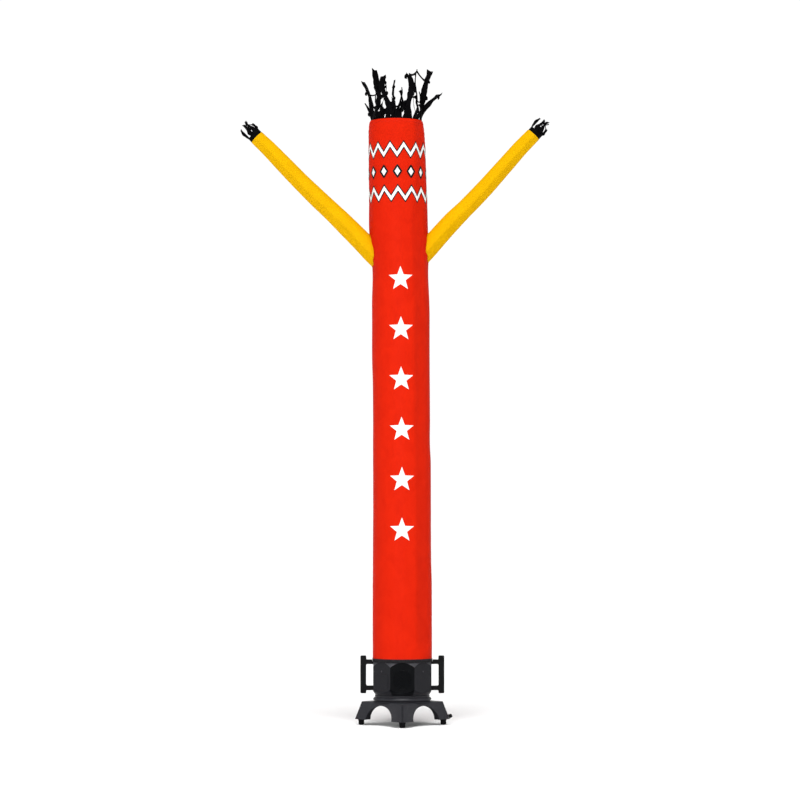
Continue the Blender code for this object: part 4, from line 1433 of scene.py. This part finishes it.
def make_legs():
    """The moulded base: four corner legs under one plate, an arch between each two."""
    low, high = LEGS_Z

    def skirt(shape):
        cone(shape, 4, low, high, *LEGS_CORNER)
        ridges = [e for e in shape.edges if abs(e.verts[0].co.z - e.verts[1].co.z) > (high - low) / 2.0]
        cut = LEGS_RIDGE / 2.0 * math.sqrt(2.0)
        bmesh.ops.bevel(shape, geom=ridges, offset=cut, segments=1, affect="EDGES")

    def hollow(shape):
        inside = LEGS_CORNER[0] - LEGS_WALL * math.sqrt(2.0)
        cone(shape, 4, low - 0.02, high - LEGS_PLATE, inside, inside)

    def arch(turn):
        spring = Matrix.Rotation(turn, 4, "Z") @ Matrix.Translation((0.0, 0.0, ARCH_SPRING))
        wide = Matrix.Diagonal((ARCH_HALF, 1.0, ARCH_TOP - ARCH_SPRING, 1.0))
        at = spring @ wide @ Matrix.Rotation(math.pi / 2.0, 4, "X")
        return lambda shape: cone(shape, TURNED_SIDES, -0.6, 0.6, 1.0, 1.0, at)

    # Painted light: the legs get the lighter grey that stands in for light from above.
    legs = piece("blower_legs", skirt, LEGS_AND_NECK_PAINTED_LIGHT_ABS, ["leg_base"], 28.0)
    tools = [
        tool_for(legs, "legs_hollow", hollow),
        tool_for(legs, "legs_arch_0", arch(math.pi / 4.0)),
        tool_for(legs, "legs_arch_1", arch(-math.pi / 4.0)),
        tool_for(legs, "legs_air_way", bored(low + 0.003, high + 0.05, LEGS_BORE)),
    ]
    soften(legs, LEGS_EDGE, 2, 25.0)
    settle(legs, tools)
    # Painted shade: the narrow ridges of the corners and the insides of the arches get the darker housing
    # grey.
    legs.data.materials.append(GREY_ABS)
    for face in legs.data.polygons:
        ridge = max(abs(face.normal.x), abs(face.normal.y)) > RIDGE_FACING
        outside = math.hypot(face.center.x - BLOWER_X, face.center.y) > RIDGE_OUT
        if ridge and outside or in_arch(face.center):
            face.material_index = 1


def facet_frame(turn_deg, across, height):
    """Axes on one of the housing's flats, by its direction: Z out of it, Y up."""
    turn = math.radians(turn_deg)
    normal = polar(1.0, turn)
    side = Vector((-math.sin(turn), math.cos(turn), 0.0))
    up = Vector((0.0, 0.0, 1.0))
    place = normal * (HOUSING_FLATS / 2.0) + side * across + Vector((0.0, 0.0, height))
    return AT_BLOWER @ (Matrix.Translation(place) @ Matrix((side, up, normal)).transposed().to_4x4())


def make_grille():
    """The round grille on the front flat: a rim around slanting ribs."""
    slant = Matrix.Rotation(math.radians(45.0), 3, "Z")
    inner = GRILLE_R - 0.006
    count = int(inner / RIB_PITCH)
    foot, crown = RIB_WIDE / 2.0, RIB_WIDE / 4.0 * RIB_NARROW
    profile = ((-foot, 0.0), (-crown, RIB_HIGH), (crown, RIB_HIGH), (foot, 0.0))

    def build(shape):
        turned(shape, [(GRILLE_R - inset, out) for inset, out in GRILLE_RIM], 72)
        for k in range(-count, count + 1):
            off = k * RIB_PITCH
            half = math.sqrt(max(0.0, inner**2 - off**2)) - 0.001
            if half < RIB_SHORTEST:
                continue
            ends = []
            for along, shorter in ((-half, RIB_HIGH), (half, -RIB_HIGH)):
                section = [(along + (shorter if z else 0.0), off + y, z) for y, z in profile]
                ends.append([slant @ Vector(corner) for corner in section])
            (start, end), _ = web(shape, ends, around=False)
            shape.faces.new(list(reversed(start)))
            shape.faces.new(end)
        bmesh.ops.recalc_face_normals(shape, faces=shape.faces)

    at = facet_frame(270.0, 0.0, GRILLE_Z)
    piece("housing_grille", build, DARK_ABS_AND_PAINTED_SHADE, sharp_deg=35.0, at=at)


def make_plate():
    """A plain raised plate on the left flat, its corners rounded."""
    wide, tall = PLATE_SIZE

    def edge(inset):
        points = []
        for quarter, (x, y) in enumerate(((1, 1), (-1, 1), (-1, -1), (1, -1))):
            centre = Vector((x * (wide / 2.0 - PLATE_CORNER), y * (tall / 2.0 - PLATE_CORNER)))
            for k in range(7):
                t = math.radians(90.0 * (quarter + k / 6.0))
                points.append(centre + Vector((math.cos(t), math.sin(t))) * (PLATE_CORNER - inset))
        return points

    def build(shape):
        rows, _ = web(shape, [[(*point, out) for point in edge(inset)] for inset, out in PLATE_LAYERS])
        shape.faces.new(rows[-1])
        bmesh.ops.recalc_face_normals(shape, faces=shape.faces)

    at = facet_frame(225.0, PLATE_ACROSS, PLATE_Z)
    piece("housing_plate", build, GREY_ABS, sharp_deg=35.0, at=at)


def make_screws():
    """Pan-head screws on the four slanting flats, each with a recess."""

    def build(shape):
        turned(shape, SCREW_PROFILE, 24, closed=False)

    for number, turn in enumerate((225.0, 315.0, 45.0, 135.0)):
        at = facet_frame(turn, 0.0, SCREW_Z)
        piece(f"housing_screw_{number + 1}", build, SCREW_STEEL, sharp_deg=35.0, at=at)


def refinish():
    """The solids whose shapes stay get their own finishes."""
    feet = ("foot_right", "foot_back", "foot_left", "foot_front", "cord_inlet")
    for names, material in ((("handle_left", "handle_right"), HANDLE_NYLON), (feet, FOOT_RUBBER)):
        for name in names:
            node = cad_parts[name]
            node.data.materials.clear()
            node.data.materials.append(material)


# ---------------------------------------------------------------- studio


def stand(name, data, at=(0.0, 0.0, 0.0)):
    """Stands a light, the camera or the floor in the studio."""
    made = bpy.data.objects.new(name, data)
    made.location = at
    bpy.context.scene.collection.objects.link(made)
    return made


def aim_at(made, target):
    """Turns a light or the camera to a point, and gives back how far away it is."""
    way = Vector(target) - Vector(made.location)
    made.rotation_euler = way.to_track_quat("-Z", "Y").to_euler()
    return way.length


def make_studio():
    """A pale floor, a white surround, a broad light overhead, a softbox in front and the camera."""
    scene = bpy.context.scene
    mesh = bpy.data.meshes.new("studio_floor")
    corners = [(x * FLOOR_REACH, y * FLOOR_REACH, 0.0) for x, y in ((-1, -1), (1, -1), (1, 1), (-1, 1))]
    mesh.from_pydata(corners, [], [(0, 1, 2, 3)])
    mesh.materials.append(floor_paper("pale_studio_floor", "#EEEEEE", "#ECECEC"))
    stand("studio_floor", mesh, (0.0, 0.0, -0.0005))

    world = bpy.data.worlds.new("studio_surround")
    world.use_nodes = True
    tree = world.node_tree
    rise = add(tree, "SeparateXYZ", "Z", vector=add(tree, "TexCoord", "Generated"))
    low, high = SURROUND_FADE
    ends = {"to_min": SURROUND_SIDES, "to_max": SURROUND_TOP}
    fade = add(tree, "MapRange", value=rise, from_min=low, from_max=high, **ends)
    fill(tree, tree.nodes["Background"], {"color": "#FFFFFF", "strength": fade})
    scene.world = world

    overhead = bpy.data.lights.new("overhead_light", "SUN")
    overhead.energy = OVERHEAD_POWER
    overhead.angle = math.radians(OVERHEAD_WIDE_DEG)
    stand("overhead_light", overhead).rotation_euler = (math.radians(OVERHEAD_LEAN_DEG), 0.0, 0.0)

    softbox = bpy.data.lights.new("front_softbox", "AREA")
    softbox.shape = "DISK"
    softbox.size = FRONT_SIZE
    softbox.energy = FRONT_POWER
    aim_at(stand("front_softbox", softbox, FRONT_AT), FRONT_AIM)

    lens = bpy.data.cameras.new("studio_camera")
    camera = stand("studio_camera", lens, CAMERA_AT)
    away = aim_at(camera, (CAMERA_AT[0], 0.0, CAMERA_AIM_Z))
    lens.sensor_width = 36.0
    lens.lens = lens.sensor_width * away / FRAME_SPAN
    lens.clip_end = 200.0
    scene.camera = camera
    scene.view_settings.view_transform = "Standard"


# ---------------------------------------------------------------- putting it together

tube = make_tube()
stitching = [hem_stitches(), *back_seam()]
prints = make_prints()
strap = make_strap()

for side in SLEEVES:
    sleeve = make_sleeve(side)
    seam = sleeve_seam(side)
    length = SLEEVE_AXES[side][1]
    axes = SLEEVE_AXES[side][0] @ Matrix.Translation((0.0, 0.0, length))
    cuff = SLEEVES[side]["across"] / 2.0 * SLEEVE_ROWS[side][-1][1] - HAND_INSET
    node = f"hand_fringe_{side}"
    fingers = make_fringe(f"{node}_cloth", axes, cuff, HAND_BAND, HAND_STRIPS, node, HAND_TIES, False)

node = "hair_fringe"
axes = Matrix.Translation((TUBE_ROWS[-1][1], 0.0, 0.0))
hair = make_fringe(f"{node}_cloth", axes, HAIR_RADIUS, HAIR_BAND, HAIR_STRIPS, node, HAIR_TIES, True)

make_housing()
make_neck()
make_legs()
make_grille()
make_plate()
make_screws()
refinish()
make_studio()
